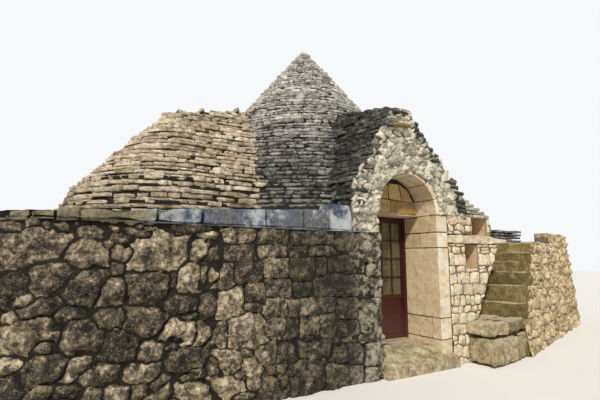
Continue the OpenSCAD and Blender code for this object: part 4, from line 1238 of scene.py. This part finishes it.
class TRULLO_OT_field_walls(bpy.types.Operator):
    """Build the outer walls of field stones round the house"""
    bl_idname = "trullo.field_walls"
    bl_label = "Field stone walls"

    def execute(self, context):
        sizes = context.scene.trullo_sizes
        rng = np.random.default_rng(4)
        place, length = plan_path(FRONT_PATH, [0, CORNER_R, 0])
        end = length + HALF_DOOR
        placed = np.array(FRONT_STONES)
        placed[:, 2:4] *= np.interp(placed[:, :1], [-3.4, -2.6], [1.18, 1.06])
        placed[:, 0] += end
        more = between(placed, lay_seeds(length, FRONT_TOP, sizes.field_row, 0.36, 0.5, rng))
        placed = np.concatenate([placed, more])
        small = lay_seeds(length, FRONT_TOP, 0.10, 0.12, 0.6, rng, turn=0.3)
        placed = np.concatenate([placed, between(placed, small)])

        def closer(left, right, start=-3.6, stop=-2.7):
            """A measure that changes where the stones get squarer and closer."""
            return lambda u: np.interp(u - end, [start, stop], [left, right])
        rubble_sheet("front_field_stones", length, FRONT_TOP, place, placed, PAINTS["front"],
                     "grey_rubble", step=0.0145, gap=closer(0.004, 0.002),
                     edge=closer(0.048, 0.024), rise=0.036, bulge=0.016, uneven=0.018,
                     rough=0.022, warp=closer(0.032, 0.013, -3.5, -2.6), loose=1.6, chips=0.9,
                     limit=lambda u, v: length - u + 0.012, seed=4)
        left = [(-OUTER, ALCOVE_BACK), (HOUSE_LEFT, ALCOVE_BACK), (HOUSE_LEFT, LEFT_SEAM)]
        place, length = plan_path(left, [0, CORNER_R, 0])
        seeds = lay_seeds(length, ALCOVE_Z, 0.28, 0.36, 0.5, rng)
        rubble_sheet("alcove_field_stones", length, ALCOVE_Z, place, seeds, PAINTS["field"],
                     "grey_rubble", step=0.026, seed=6, **FIELD_FACE)
        back = [(OUTER, -2.2), (OUTER, OUTER), (-OUTER, OUTER), (-OUTER, ALCOVE_BACK)]
        place, length = plan_path(back, [0, CORNER_R, CORNER_R, 0])
        seeds = lay_seeds(length, EAVES, 0.28, 0.38, 0.5, rng)
        rubble_sheet("back_field_stones", length, EAVES, place, seeds, PAINTS["field"],
                     "grey_rubble", step=0.030, seed=7, **FIELD_FACE)
        bend = CORNER_R

        def house(x, y):
            s = (x - STAIR_FOOT[0] - STAIR_W * INWARD[0]) / ALONG[0]
            stair = STAIR_FOOT[1] + s * ALONG[1] + STAIR_W * INWARD[1]
            front = np.where(x < 0, -ROOM, np.maximum(stair, GABLE_BACK))
            return np.minimum.reduce([
                x + OUTER, OUTER - x, y - front, OUTER - y,
                corner_limit(x, y, OUTER - bend, OUTER - bend, bend),
                corner_limit(x, y, bend - OUTER, OUTER - bend, bend),
                np.hypot(x, y) - CONE_R + 0.12])

        def alcove(x, y):
            return np.minimum.reduce([
                x - HOUSE_LEFT, ALCOVE_BACK - y,
                corner_limit(x, y, HOUSE_LEFT + bend, ALCOVE_BACK - bend, bend),
                corner_limit(x, y, HOUSE_LEFT + bend, bend - OUTER, bend),
                np.hypot(x - ALCOVE[0], y - ALCOVE[1]) - ALCOVE_R + 0.15,
                np.hypot(x, y) - CONE_R + 0.12])

        def alcove_front(x, y):
            return np.minimum(alcove(x, y), -ROOM - y + 0.01)
        tilt = math.atan2(FRONT_HEAD_RISE, FRONT_HEAD_RUN)
        rising = (math.cos(tilt), 0, math.sin(tilt))
        for name, (x0, y0, z0), along, size, plan in (
                ("house_wall_heads", (-OUTER, GABLE_BACK, EAVES), (1, 0, 0), (6.0, 5.6), house),
                ("alcove_wall_heads", (HOUSE_LEFT, -ROOM, ALCOVE_Z), (1, 0, 0), (2.3, 3.23),
                 alcove),
                ("front_wall_heads", (HOUSE_LEFT, -2.76, FRONT_HEAD_Z), rising,
                 (FRONT_HEAD_RUN, 0.82), alcove_front)):
            seeds = lay_seeds(*size, 0.30, 0.42, 0.6, rng, turn=0.4)
            rubble_sheet(name, *size, flat_face((x0, y0, z0 - SINK), along, (0, 1, 0)), seeds,
                         PAINTS["wall_head"], "grey_rubble", step=0.03,
                         limit=lambda u, v: plan(u * along[0] + x0, v + y0), seed=9, **HEAD_FACE)
        stair = (*stair_xy(0.115, STAIR_W), LANDING_Z - 0.1)
        for name, origin, along, width, form, seed in (
                ("stair_side_stones", stair, (*ALONG, 0.0), 1.11,
                 dict(rise=0.02, bulge=0.010, uneven=0.010, rough=0.014), 10),
                ("niche_side_stones", (NICHE_FOOT_X, GABLE_BACK, LANDING_Z), (1, 0, 0), 0.50,
                 dict(rise=0.012, bulge=0.006, uneven=0.006, rough=0.010), 34)):
            height = EAVES - origin[2]
            seeds = lay_seeds(width, height, 0.26, 0.34, 0.5, rng)
            rubble_sheet(name, width, height, flat_face(origin, along), seeds, PAINTS["field"],
                         "grey_rubble", step=0.02, gap=0.003, edge=0.04, warp=0.03, loose=1.6,
                         seed=seed, **form)
        for name in ("front_wall", "back_wall", "right_wall", "side_walls", "alcove_walls"):
            paint_node(name, "core")
        return {"FINISHED"}


# Where the raised block starts, to the left of the entrance's axis
RAISED_BLOCK = 1.46


class TRULLO_OT_cornice(bpy.types.Operator):
    """Lay the whitewashed band over the front wall as worn blocks on a thin ledge"""
    bl_idname = "trullo.cornice"
    bl_label = "Whitewashed cornice"

    def execute(self, context):
        heap = BlockHeap(9, levels=15, rounding=0.016, rough=0.010)
        place, length = plan_path(FRONT_PATH, [0, CORNER_R, 0])
        # Places along the wall count from the entrance's axis to the left: the first block's
        # start, where the worn short ones end, where the rough ones end, and the ledge's end
        first, short_until, rough_until, ledge_end = 4.96, 4.4, 3.2, 0.86
        head = -2.74
        short = 0.2

        def band(u0, u1, foot, lift, proud, rough):
            """One block between two lengths along the wall. Its top is lift over its foot, or
            follows the rising head of the wall."""
            spot, normal = place(np.array([u0, u1]), np.zeros(2))
            (xa, ya), (xb, yb) = (spot + normal * proud)[:, :2]
            za, zb = [foot + lift if lift
                      else FRONT_HEAD_Z + FRONT_HEAD_RISE * (x - HOUSE_LEFT) / FRONT_HEAD_RUN
                      for x in (xa, xb)]
            heap.put([(xa, ya, foot), (xb, yb, foot), (xb, head, foot), (xa, head, foot),
                      (xa, ya, za), (xb, yb, zb), (xb, head, zb), (xa, head, za)], rough=rough)
        end = length + HALF_DOOR
        for lift, proud, wide, foot, stop in (
                (0.0, 0.016, 0.62, FRONT_TOP + 0.012, end - RAISED_BLOCK),
                (0.026, 0.045, 0.8, FRONT_TOP - 0.008, end - ledge_end)):
            u = end - first
            while u < stop - 0.02:
                step = wide * heap.rng.uniform(0.6, 1.3)
                if u < end - short_until:
                    step = short
                if stop - u - step < short:
                    step = stop - u
                band(u, u + step - 0.001, foot, lift, proud + heap.rng.uniform(-0.006, 0.008),
                     0.016 if u < end - rough_until else 0.008)
                u += step
        heap.box((-RAISED_BLOCK, -OUTER - 0.03, FRONT_TOP + 0.01), (-1.10, head, 2.335),
                 rough=0.012)
        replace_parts(heap.build("whitewashed_cornice", PAINTS["whitewash"], "whitewash"), "cornice")
        return {"FINISHED"}


class TRULLO_OT_gable(bpy.types.Operator):
    """Build the gable's pale rubble round the arch, with the stone that stands out of it"""
    bl_idname = "trullo.gable"
    bl_label = "Gable rubble"

    def execute(self, context):
        sizes = context.scene.trullo_sizes
        rng = np.random.default_rng(8)
        x0, height, foot = -1.10, 1.9, FRONT_TOP
        width = 1.30 - x0
        outline = [(-1.09, foot)] + [(-x, EAVES + h) for x, h in LEFT_EDGE]
        outline += [(x, EAVES + h) for x, h in RIGHT_EDGE[::-1]]
        outline += [(-HALF_DOOR, EAVES), (-HALF_DOOR, foot)]
        rim = inside_polygon([(x - x0, z - foot) for x, z in outline])

        def limit(u, v):
            # The arch's bare edge is wider on the right, and the outer edge is torn
            x, z = u + x0, v + foot - EAVES
            band = 0.035 + 0.05 * np.clip(x / 0.5, -0.4, 1)
            arch = np.where(z > 0, np.hypot(x, z), np.abs(x)) - HALF_DOOR - band
            torn = noise(np.stack([x, z, x * 0], -1), 0.10, 5) * np.where(x < 0, 0.05, 0.02)
            return np.minimum(rim(u, v) + torn, np.where(x < 0, arch + 0.014, arch))
        seeds = lay_seeds(width, height, sizes.gable_row, 0.155, 0.8, rng, power=2.5, turn=0.25)
        rubble_sheet("gable_rubble", width, height, flat_face((x0, -OUTER, foot), (1, 0, 0)),
                     seeds, PAINTS["gable"], "pale_rubble", step=0.0105, limit=limit, gap=-0.002,
                     edge=0.024, rise=0.022, bulge=0.012, uneven=0.022, rough=0.024, warp=0.040,
                     loose=1.7, chips=1.0, seed=8)
        paint_node("gable_wall", "gable_core")
        peg = BlockHeap(12, levels=13, rounding=0.03, rough=0.012)
        peg.put([(-0.37, -3.13, 3.56), (0.0, -3.14, 3.575),
                 (0.0, -2.98, 3.575), (-0.36, -2.98, 3.56),
                 (-0.36, -3.12, 3.63), (-0.02, -3.13, 3.64),
                 (0.0, -2.98, 3.65), (-0.36, -2.98, 3.64)])
        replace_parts(peg.build("gable_peg_stone", PAINTS["step"], "roof_slabs"), "gable_peg")
        cap = BlockHeap(13, levels=13, rounding=0.025, rough=0.012)
        cap.put([(-0.31, -3.05, 3.80), (-0.10, -3.06, 3.835),
                 (-0.10, -2.7, 3.89), (-0.31, -2.7, 3.85),
                 (-0.29, -3.04, 3.855), (-0.10, -3.05, 3.895),
                 (-0.10, -2.7, 3.95), (-0.29, -2.7, 3.91)])
        cap.put([(-0.095, -3.055, 3.835), (0.11, -3.05, 3.81),
                 (0.11, -2.7, 3.87), (-0.095, -2.7, 3.89),
                 (-0.095, -3.05, 3.895), (0.09, -3.04, 3.875),
                 (0.09, -2.7, 3.93), (-0.095, -2.7, 3.95)])
        cap.build("gable_cap_stones", PAINTS["hump_slab"], "roof_slabs")
        return {"FINISHED"}


# A pier's courses: foot, top, and where a long one is cut in two. The filling of the arch:
# each block's corners on the wall's face, lower left first
PIER_COURSES = ((0.0, 0.39, -2.58), (0.39, 0.705, -2.83), (0.705, 1.78, None),
                (1.78, 2.02, -2.64), (2.02, EAVES, None))
ARCH_FILLING = (((-0.57, 2.32), (-0.02, 2.318), (-0.02, 2.535), (-0.52, 2.54)),
                ((-0.016, 2.318), (0.57, 2.316), (0.53, 2.505), (-0.016, 2.535)),
                ((-0.51, 2.547), (-0.052, 2.541), (-0.052, 2.775), (-0.33, 2.745)),
                ((-0.044, 2.541), (0.23, 2.523), (0.18, 2.80), (-0.044, 2.80)),
                ((0.238, 2.522), (0.505, 2.512), (0.36, 2.715), (0.19, 2.80)),
                ((-0.31, 2.755), (-0.052, 2.782), (-0.02, 2.862), (-0.17, 2.845)))
# Half a joint between dressed blocks
HALF_JOINT = 0.0015


class TRULLO_OT_entrance(bpy.types.Operator):
    """Build the dressed piers and the filling of the arch from blocks, and lay the paving"""
    bl_idname = "trullo.entrance"
    bl_label = "Dressed entrance"

    def execute(self, context):
        heap = BlockHeap(14, levels=15, rounding=0.012, rough=0.005)
        # A near-black plate behind the front stones, so that their joints show painted shade instead
        # of the pale pier.
        dark = BlockHeap(3, levels=7, rounding=0.002, rough=0.0)
        dark.box((-PIER_X, -2.992, 0.0), (-HALF_DOOR - 0.012, -2.975, EAVES))
        dark.build("left_pier_joint_shade", PAINTS["core"], "dressed_stone")
        for x0, x1, front in ((-PIER_X, -HALF_DOOR, -2.972), (HALF_DOOR, PIER_X, -OUTER)):
            for z0, z1, cut in PIER_COURSES:
                cuts = (front, cut, -ROOM) if cut else (front, -ROOM)
                for y0, y1 in zip(cuts[:-1], cuts[1:]):
                    heap.box((x0, y0 + HALF_JOINT, z0 + HALF_JOINT),
                             (x1, y1 - HALF_JOINT, z1 - HALF_JOINT))
        piers = heap.build("dressed_piers", PAINTS["dressed"], "dressed_stone")
        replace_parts(piers, "left_pier", "right_pier")
        infill = BlockHeap(15, levels=15, rounding=0.012, rough=0.007)
        y0, y1 = -2.632, -2.59
        for (ax, az), (bx, bz), (cx, cz), (dx, dz) in ARCH_FILLING:
            infill.put([(ax, y0, az), (bx, y0, bz), (bx, y1, bz), (ax, y1, az),
                        (dx, y0, dz), (cx, y0, cz), (cx, y1, cz), (dx, y1, dz)])
        infill.box((-0.583, -2.63, 2.287), (0.583, -2.33, 2.314), tone=(0.98, 0.1))
        infill.build("tympanum_stones", PAINTS["tympanum"], "dressed_stone")
        ring = BlockHeap(32, levels=15, rounding=0.010, rough=0.006)
        middle = ARCH_R - 0.065
        turns = np.linspace(0, math.pi, 8)
        turns[1:-1] += ring.rng.uniform(-0.04, 0.04, 6)
        for k, (a, b) in enumerate(zip(turns[:-1], turns[1:])):
            cuts = (-OUTER, DOOR_Y) if k % 2 else (-OUTER, -2.63 - 0.08 * (k % 4), DOOR_Y)
            for y0, y1 in zip(cuts[:-1], cuts[1:]):
                ring.box((a * middle + HALF_JOINT, y0, HALF_DOOR),
                         (b * middle - HALF_JOINT, y1 - 0.002, ARCH_R))
        # The blocks are laid out straight, and are bent round the arch
        for points in ring.points:
            turn, radius = points[:, 0] / middle, points[:, 2].copy()
            points[:, 0] = -radius * np.cos(turn)
            points[:, 2] = EAVES + radius * np.sin(turn)
        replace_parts(ring.build("arch_ring", PAINTS["dressed"], "dressed_stone"), "arch_stones")
        paint_node("lintel", "inner")
        paint_node("tympanum", "core")
        paint_node("porch_paving", "paving")
        return {"FINISHED"}


def rectangle(u0, u1, v0, v1):
    return [(u0, v0), (u1, v0), (u1, v1), (u0, v1)]


class TRULLO_OT_niche_wall(bpy.types.Operator):
    """Build the niche wall: small squared rubble, the long slab, jambs and roof courses"""
    bl_idname = "trullo.niche_wall"
    bl_label = "Niche wall"

    def execute(self, context):
        rng = np.random.default_rng(16)
        top = NICHE_SLAB_Z
        face = flat_face((PIER_X, -OUTER, 0), (1, 0, 0))
        foot_u = NICHE_FOOT_X - PIER_X

        def fitted(outline, hole):
            """Distance inside the outline and outside the niche's opening."""
            inside, taken = inside_polygon(outline), inside_polygon(hole)
            return lambda u, v: np.minimum(inside(u, v) + 0.008, -taken(u, v) + 0.006)
        low = fitted([(0, 0), (foot_u, 0), (foot_u, LANDING_Z), (NICHE_END_X - PIER_X, top),
                      (0, top)], rectangle(0.392, 0.732, 1.45, 1.90))
        seeds = lay_seeds(1.35, top, 0.155, 0.18, 0.25, rng, power=4.5, turn=0.06)
        rubble_sheet("niche_wall_stones", 1.35, top, face, seeds, PAINTS["niche"],
                     "pale_rubble", step=0.011, limit=low, seed=16, **NICHE_FACE)
        high = fitted(rectangle(0, 1.072, 2.01, EAVES), rectangle(0.602, 1.002, 1.9, 2.4))
        seeds = lay_seeds(1.1, 2.35, 0.14, 0.19, 0.4, rng, power=4.0)
        rubble_sheet("upper_niche_stones", 1.1, 2.30, face, seeds, PAINTS["niche"],
                     "pale_rubble", step=0.011, limit=high, seed=17,
                     **{**NICHE_FACE, "rough": 0.012, "warp": 0.022})
        slope = np.array([NICHE_END_X - NICHE_FOOT_X, 0.0, top - LANDING_Z])
        height = float(np.linalg.norm(slope))
        end = flat_face((NICHE_FOOT_X - 0.004, -OUTER, LANDING_Z), (0, 1, 0), slope / height)
        seeds = lay_seeds(0.40, height, 0.15, 0.19, 0.3, rng, power=4.0)
        rubble_sheet("niche_wall_end_stones", 0.40, height, end, seeds, PAINTS["niche"],
                     "pale_rubble", step=0.014, seed=33,
                     **{**NICHE_FACE, "rise": 0.014, "uneven": 0.008})
        slab = BlockHeap(18, levels=17, rounding=0.03, rough=0.014)
        y0, y1 = -OUTER - 0.03, GABLE_BACK
        for a, b, f0, f1, t0, t1 in ((0.845, 1.20, 1.845, 1.84, 2.00, 2.01),
                                     (1.205, 1.83, 1.84, 1.84, 2.01, 2.005),
                                     (1.835, 2.37, 1.83, 1.89, 2.01, 1.94)):
            slab.put([(a, y0, f0), (b, y0, f1), (b, y1, f1), (a, y1, f0),
                      (a, y0, t0), (b, y0, t1), (b, y1, t1), (a, y1, t0)])
        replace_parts(slab.build("long_slab", PAINTS["niche"], "pale_rubble"), "niche_slab")
        roof = BlockHeap(19, levels=13, rounding=0.014, rough=0.007)
        for k in range(5):
            z = EAVES + 0.058 * k
            right = NICHE_ROOF_X + (EAVES + 0.29 - z) * 2.15
            cuts = np.linspace(1.27, right, 4 if k < 3 else 3)
            cuts[1:-1] += roof.rng.uniform(-0.05, 0.05, len(cuts) - 2)
            for a, b in zip(cuts[:-1], cuts[1:]):
                front = -OUTER - 0.015 - roof.rng.uniform(0.0, 0.02)
                roof.box((a + 0.002, front, z), (b - 0.002, GABLE_BACK, z + 0.061))
        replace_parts(roof.build("niche_roof_slabs", PAINTS["gable"], "roof_slabs"),
                    "niche_roof_courses")
        paint_node("niche_wall_foot", "pale_core")
        paint_node("niche_jambs", "niche_inside")
        paint_node("niche_wall_core", "inner")
        return {"FINISHED"}


# Stair and terrace

def stair_block(heap, s0, s1, n0, n1, z0, z1, **kw):
    """A block in the stair's own directions, with the wall's batter on its front."""
    heap.put([(*stair_xy(s, n + (BATTER * z if n < 0.1 else 0.0)), z) for z in (z0, z1)
              for s, n in ((s0, n0), (s1, n0), (s1, n1), (s0, n1))], **kw)


class TRULLO_OT_stair(bpy.types.Operator):
    """Lay the landing's slabs and the six worn steps"""
    bl_idname = "trullo.stair"
    bl_label = "Landing and steps"

    def execute(self, context):
        heap = BlockHeap(20, levels=19, rounding=0.04, rough=0.020)
        for k, top in enumerate(STEP_TOPS):
            s0 = FIRST_STEP + GOING * k
            low = LANDING_Z - 0.06 if k == 0 else STEP_TOPS[k - 1] - 0.05
            s1 = s0 + 0.46 if k < 4 else LAST_STEP
            stair_block(heap, s0 - 0.02, s1, -0.03, STAIR_W, low, top)
        stair_block(heap, FIRST_STEP + 0.02, LAST_STEP, 0.005, STAIR_W, 0.0, LANDING_Z,
                    rough=0.004)
        for k, top in enumerate(STEP_TOPS[:-1]):
            s0 = FIRST_STEP + GOING * k + 0.40
            low = LANDING_Z if k == 0 else STEP_TOPS[k - 1]
            if s0 < LAST_STEP - 0.1:
                stair_block(heap, s0, LAST_STEP, 0.008, STAIR_W, low, top, rough=0.003)
        steps = heap.build("worn_steps", PAINTS["step"], "step_stone")
        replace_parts(steps, *[f"step_{k}" for k in range(1, 7)])
        land = BlockHeap(21, levels=19, rounding=0.05, rough=0.026)
        split = LANDING_Z - LANDING_SLAB
        near, middle, high_middle, far = [
            stair_xy(FIRST_STEP + 0.03, n) for n in (0.0, 0.40, 0.42, STAIR_W)]
        low_near = (near[0], near[1] + 0.02)
        back = [(NICHE_FOOT_X, -OUTER), middle, far, (NICHE_FOOT_X, GABLE_BACK)]
        for plan, z0, z1 in (
                ([(1.11, -3.52), (1.63, -3.452), (1.62, -2.98), (1.11, -2.99)], split, LANDING_Z),
                ([(1.635, -3.45), near, high_middle, (1.62, -2.99)], split + 0.01, LANDING_Z),
                (back, split, LANDING_Z - 0.005),
                ([(1.14, -3.49), (1.50, -3.468), (1.50, -2.98), (1.13, -2.99)], 0.0,
                 split - 0.005),
                ([(1.505, -3.44), (1.95, -3.40), (1.95, -3.0), (1.505, -3.0)], 0.0, split),
                ([(1.955, -3.39), low_near, middle, (1.955, -3.0)], 0.0, split),
                (back, 0.0, split)):
            land.prism(plan, z0, z1)
        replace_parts(land.build("landing_slabs", PAINTS["landing"], "step_stone"),
                    "landing_base", "landing_slab")
        return {"FINISHED"}


class TRULLO_OT_stair_wall(bpy.types.Operator):
    """Build the battered stair wall, its parapet, and the terrace behind it"""
    bl_idname = "trullo.stair_wall"
    bl_label = "Stair wall and terrace"

    def execute(self, context):
        sizes = context.scene.trullo_sizes
        rng = np.random.default_rng(24)
        start = FIRST_STEP + 0.02
        width = STAIR_WALL_L - start
        height = TERRACE_Z + PARAPET_H
        outline = [(0.0, 0.0), (width, 0.0), (width, height), (PARAPET_S - start, height),
                   (PARAPET_S - start, TERRACE_Z), (LAST_STEP - start, TERRACE_Z)]
        for k in range(5, -1, -1):
            s0 = FIRST_STEP + GOING * k - start
            low = LANDING_Z if k == 0 else STEP_TOPS[k - 1]
            reach = 0.26 if k else 0.30
            outline += [(s0 + reach, STEP_TOPS[k] - 0.02), (s0 + reach, low)]
        outline += [(0.0, LANDING_Z - 0.1)]
        rim = inside_polygon(outline)
        origin = (*stair_xy(start, 0.0), 0.0)
        place = flat_face(origin, (*ALONG, 0.0), lean=BATTER)
        seeds = lay_seeds(width, height, sizes.stair_row, 0.21, 0.7, rng, power=3.4, turn=0.2)
        rubble_sheet("stair_wall_stones", width, height, place, seeds, PAINTS["tan"],
                     "tan_rubble", step=0.015, limit=lambda u, v: rim(u, v) + 0.008, gap=0.002,
                     edge=0.032, rise=0.026, bulge=0.016, uneven=0.026, rough=0.018,
                     warp=0.034, loose=1.5, chips=0.9, seed=24)
        far = stair_xy(STAIR_WALL_L, STAIR_WALL_T)
        side = flat_face((*stair_xy(STAIR_WALL_L, 0.0), 0.0), (*INWARD, 0.0))

        def side_limit(u, v):
            return np.minimum(np.minimum(u - BATTER * v, STAIR_WALL_T - u), height - v) + 0.006
        seeds = lay_seeds(STAIR_WALL_T, height, sizes.stair_row, 0.19, 0.5, rng)
        rubble_sheet("stair_wall_end_stones", STAIR_WALL_T, height, side, seeds, PAINTS["tan"],
                     "tan_rubble", step=0.02, limit=side_limit, gap=0.002, edge=0.035,
                     rise=0.018, bulge=0.010, rough=0.009, warp=0.02, loose=1.5, seed=25)
        path = [far, (far[0], TERRACE_BACK), (OUTER, TERRACE_BACK)]
        place, length = plan_path(path, [0, 0, 0])
        seeds = lay_seeds(length, TERRACE_Z, 0.2, 0.26, 0.6, rng)
        rubble_sheet("terrace_back_stones", length, TERRACE_Z, place, seeds, PAINTS["tan"],
                     "tan_rubble", step=0.026, gap=0.004, edge=0.04, rise=0.022,
                     bulge=0.012, rough=0.009, warp=0.025, loose=1.5, seed=26)
        cap = BlockHeap(27, levels=9, rounding=0.035, rough=0.014)
        s = PARAPET_S - 0.02
        while s < STAIR_WALL_L - 0.05:
            wide = min(cap.rng.uniform(0.24, 0.46), STAIR_WALL_L - s)
            top = height + 0.055 * (s - PARAPET_S) / 2 + cap.rng.uniform(-0.01, 0.015)
            stair_block(cap, s, s + wide - 0.008, -0.02, STAIR_WALL_T, TERRACE_Z + 0.13, top)
            s += wide
        s = LAST_STEP - 0.02
        while s < PARAPET_S - 0.05:
            wide = min(cap.rng.uniform(0.22, 0.40), PARAPET_S - s)
            stair_block(cap, s, s + wide - 0.008, -0.025, STAIR_WALL_T, TERRACE_Z - 0.11,
                        TERRACE_Z + cap.rng.uniform(0.0, 0.03))
            s += wide
        cap.build("stair_wall_coping", PAINTS["tan"], "tan_rubble")
        kerb = BlockHeap(28, levels=9, rounding=0.018, rough=0.012)
        for k in range(5):
            z = TERRACE_Z + 0.076 * k
            x = OUTER + 0.01
            while x < OUTER + 2.6:
                wide = min(kerb.rng.uniform(0.25, 0.55), OUTER + 2.69 - x)
                front = -1.3 - kerb.rng.uniform(-0.01, 0.025)
                kerb.box((x, front, z), (x + wide - 0.004, TERRACE_BACK, z + 0.073))
                x += wide
        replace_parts(kerb.build("terrace_kerb_slabs", PAINTS["slab"], "roof_slabs"), "terrace_kerb")
        for name in ("stair_wall", "parapet", "terrace_fill", "terrace_paving"):
            paint_node(name, "pale_core")
        back = TERRACE_BACK - 0.02
        corners = [stair_xy(LAST_STEP, STAIR_WALL_T), far, (far[0], back), (OUTER + 0.01, back),
                   (OUTER + 0.01, stair_xy(1.22, STAIR_W)[1]), stair_xy(LAST_STEP, STAIR_W)]
        x0, y0 = OUTER, corners[0][1]
        plan = inside_polygon([(x - x0, y - y0) for x, y in corners])
        size = (far[0] - x0, back - y0)
        level = flat_face((x0, y0, TERRACE_Z - SINK), (1, 0, 0), (0, 1, 0))
        seeds = lay_seeds(*size, 0.36, 0.46, 0.35, rng, power=4, turn=0.12)
        rubble_sheet("terrace_flags", *size, level, seeds, PAINTS["flag"], "paving", step=0.025,
                     limit=plan, gap=0.002, edge=0.018, rise=0.018, bulge=0.003, uneven=0.003,
                     rough=0.004, warp=0.02, loose=3.0, chips=0.08, seed=29)
        return {"FINISHED"}


# Door and inside

class TRULLO_OT_door(bpy.types.Operator):
    """Paint the frame and the leaves, glaze them, and add the lock plate and handle"""
    bl_idname = "trullo.door"
    bl_label = "Door"

    def execute(self, context):
        for name in ("door_frame", "right_leaf", "left_leaf"):
            paint_node(name, "maroon")
        for name in ("right_glass", "left_glass"):
            paint_node(name, "pane")
        paint_node("hinge_pins", "iron")
        lock = BlockHeap(30, rounding=0.004, rough=0.0)
        lock.box((0.028, DOOR_Y + 0.019, 1.22), (0.068, DOOR_Y + 0.026, 1.40))
        lock.box((0.036, DOOR_Y - 0.016, 1.325), (0.060, DOOR_Y + 0.02, 1.345))
        lock.box((0.036, DOOR_Y - 0.026, 1.322), (0.150, DOOR_Y - 0.012, 1.348))
        lock.build("door_handle", PAINTS["iron"], "hinge_iron", body="right_door")
        return {"FINISHED"}


class TRULLO_OT_inside(bpy.types.Operator):
    """Finish the floor, the alcove's arch and the corner corbels"""
    bl_idname = "trullo.inside"
    bl_label = "Inside"

    def execute(self, context):
        for name, paint in (("floor", "paving"), ("alcove_arch", "inner"),
                            ("corner_corbels", "inner")):
            paint_node(name, paint)
        return {"FINISHED"}


def place_camera(scene):
    """The photograph's camera: level sides, from a spot, a direction and a focal length."""
    camera = bpy.data.cameras.new("camera")
    camera.sensor_width = SENSOR
    camera.lens = FOCAL_PIXELS / PHOTO_PIXELS * SENSOR
    camera.clip_end = 200
    eye = bpy.data.objects.new("camera", camera)
    scene.collection.objects.link(eye)
    view = np.array(CAMERA_VIEW)
    view /= np.linalg.norm(view)
    right = np.cross(view, [0, 0, 1])
    right /= np.linalg.norm(right)
    up = np.cross(right, view)
    matrix = np.eye(4)
    matrix[:3] = np.stack([right, up, -view, CAMERA_SPOT], -1)
    eye.matrix_world = matrix.T.tolist()
    scene.camera = eye


def lay_floor(scene):
    """A plain square floor, just under the house."""
    floor = bpy.data.meshes.new("floor_plane")
    a, z = STAGE_HALF, -0.002
    floor.from_pydata([(-a, -a, z), (a, -a, z), (a, a, z), (-a, a, z)], [], [(0, 1, 2, 3)])
    floor.update()
    plane = bpy.data.objects.new("floor_plane", floor)
    scene.collection.objects.link(plane)
    paint = Paint("plain_floor", roughness=0.95)
    tone = tuple(scene.trullo_colours.ground)
    shaded = tuple(0.96 * c for c in tone)
    floor.materials.append(paint.finish(paint.mix(paint.noise(0.6, 2.0) * 0.2, tone, shaded)))


def light_world(scene):
    """A soft sky that lights the house, and a nearly white one that the camera and gloss see."""
    world = bpy.data.worlds.new("studio")
    scene.world = world
    world.use_nodes = True
    tree = world.node_tree
    tree.nodes.clear()
    output = tree.nodes.new("ShaderNodeOutputWorld")
    path = tree.nodes.new("ShaderNodeLightPath")
    either = tree.nodes.new("ShaderNodeMath")
    either.operation = "MAXIMUM"
    tree.links.new(path.outputs["Is Camera Ray"], either.inputs[0])
    tree.links.new(path.outputs["Is Glossy Ray"], either.inputs[1])
    mix = tree.nodes.new("ShaderNodeMixShader")
    tree.links.new(either.outputs[0], mix.inputs[0])
    for k, (colour, strength) in enumerate(((SKY_LIGHT, SKY_STRENGTH), (SKY_SHOWN, 1.0))):
        sky = tree.nodes.new("ShaderNodeBackground")
        sky.inputs["Color"].default_value = colour
        sky.inputs["Strength"].default_value = strength
        tree.links.new(sky.outputs[0], mix.inputs[k + 1])
    tree.links.new(mix.outputs[0], output.inputs[0])


def light_sun(scene):
    """The sun, 44 degrees high, behind the camera and a little to its left."""
    sun = bpy.data.lights.new("key", "SUN")
    sun.energy = SUN_ENERGY
    sun.angle = SUN_ANGLE
    sun.color = SUN_COLOUR
    lamp = bpy.data.objects.new("key", sun)
    scene.collection.objects.link(lamp)
    lamp.rotation_euler = SUN_TURN


class TRULLO_OT_stage(bpy.types.Operator):
    """Set up the plain floor, the soft light and the camera at the photograph's place"""
    bl_idname = "trullo.stage"
    bl_label = "Floor, light and camera"

    def execute(self, context):
        scene = context.scene
        place_camera(scene)
        lay_floor(scene)
        light_world(scene)
        light_sun(scene)
        scene.view_settings.view_transform = "Standard"
        return {"FINISHED"}


# Panel and run

OPERATORS = [TRULLO_OT_stage, TRULLO_OT_main_cone, TRULLO_OT_alcove_roof, TRULLO_OT_porch_roof,
             TRULLO_OT_field_walls, TRULLO_OT_cornice, TRULLO_OT_gable, TRULLO_OT_entrance,
             TRULLO_OT_niche_wall, TRULLO_OT_stair, TRULLO_OT_stair_wall, TRULLO_OT_door,
             TRULLO_OT_inside]


class TRULLO_PT_panel(bpy.types.Panel):
    """Lists the trullo's pieces in the sidebar"""
    bl_label = "Trullo House"
    bl_idname = "TRULLO_PT_panel"
    bl_space_type = "VIEW_3D"
    bl_region_type = "UI"
    bl_category = "Trullo"

    def draw(self, context):
        layout = self.layout
        for group in (context.scene.trullo_sizes, context.scene.trullo_colours):
            for key in type(group).__annotations__:
                layout.prop(group, key)
        for operator in OPERATORS:
            layout.operator(operator.bl_idname)


CLASSES = [TrulloSizes, TrulloColours, *OPERATORS, TRULLO_PT_panel]


def register():
    for cls in CLASSES:
        bpy.utils.register_class(cls)
    bpy.types.Scene.trullo_sizes = bpy.props.PointerProperty(type=TrulloSizes)
    bpy.types.Scene.trullo_colours = bpy.props.PointerProperty(type=TrulloColours)


def unregister():
    del bpy.types.Scene.trullo_colours
    del bpy.types.Scene.trullo_sizes
    for cls in reversed(CLASSES):
        bpy.utils.unregister_class(cls)


def main():
    register()
    PAINTS.update(make_paints())
    for operator in OPERATORS:
        group, name = operator.bl_idname.split(".")
        getattr(getattr(bpy.ops, group), name)()


if __name__ == "__main__":
    main()
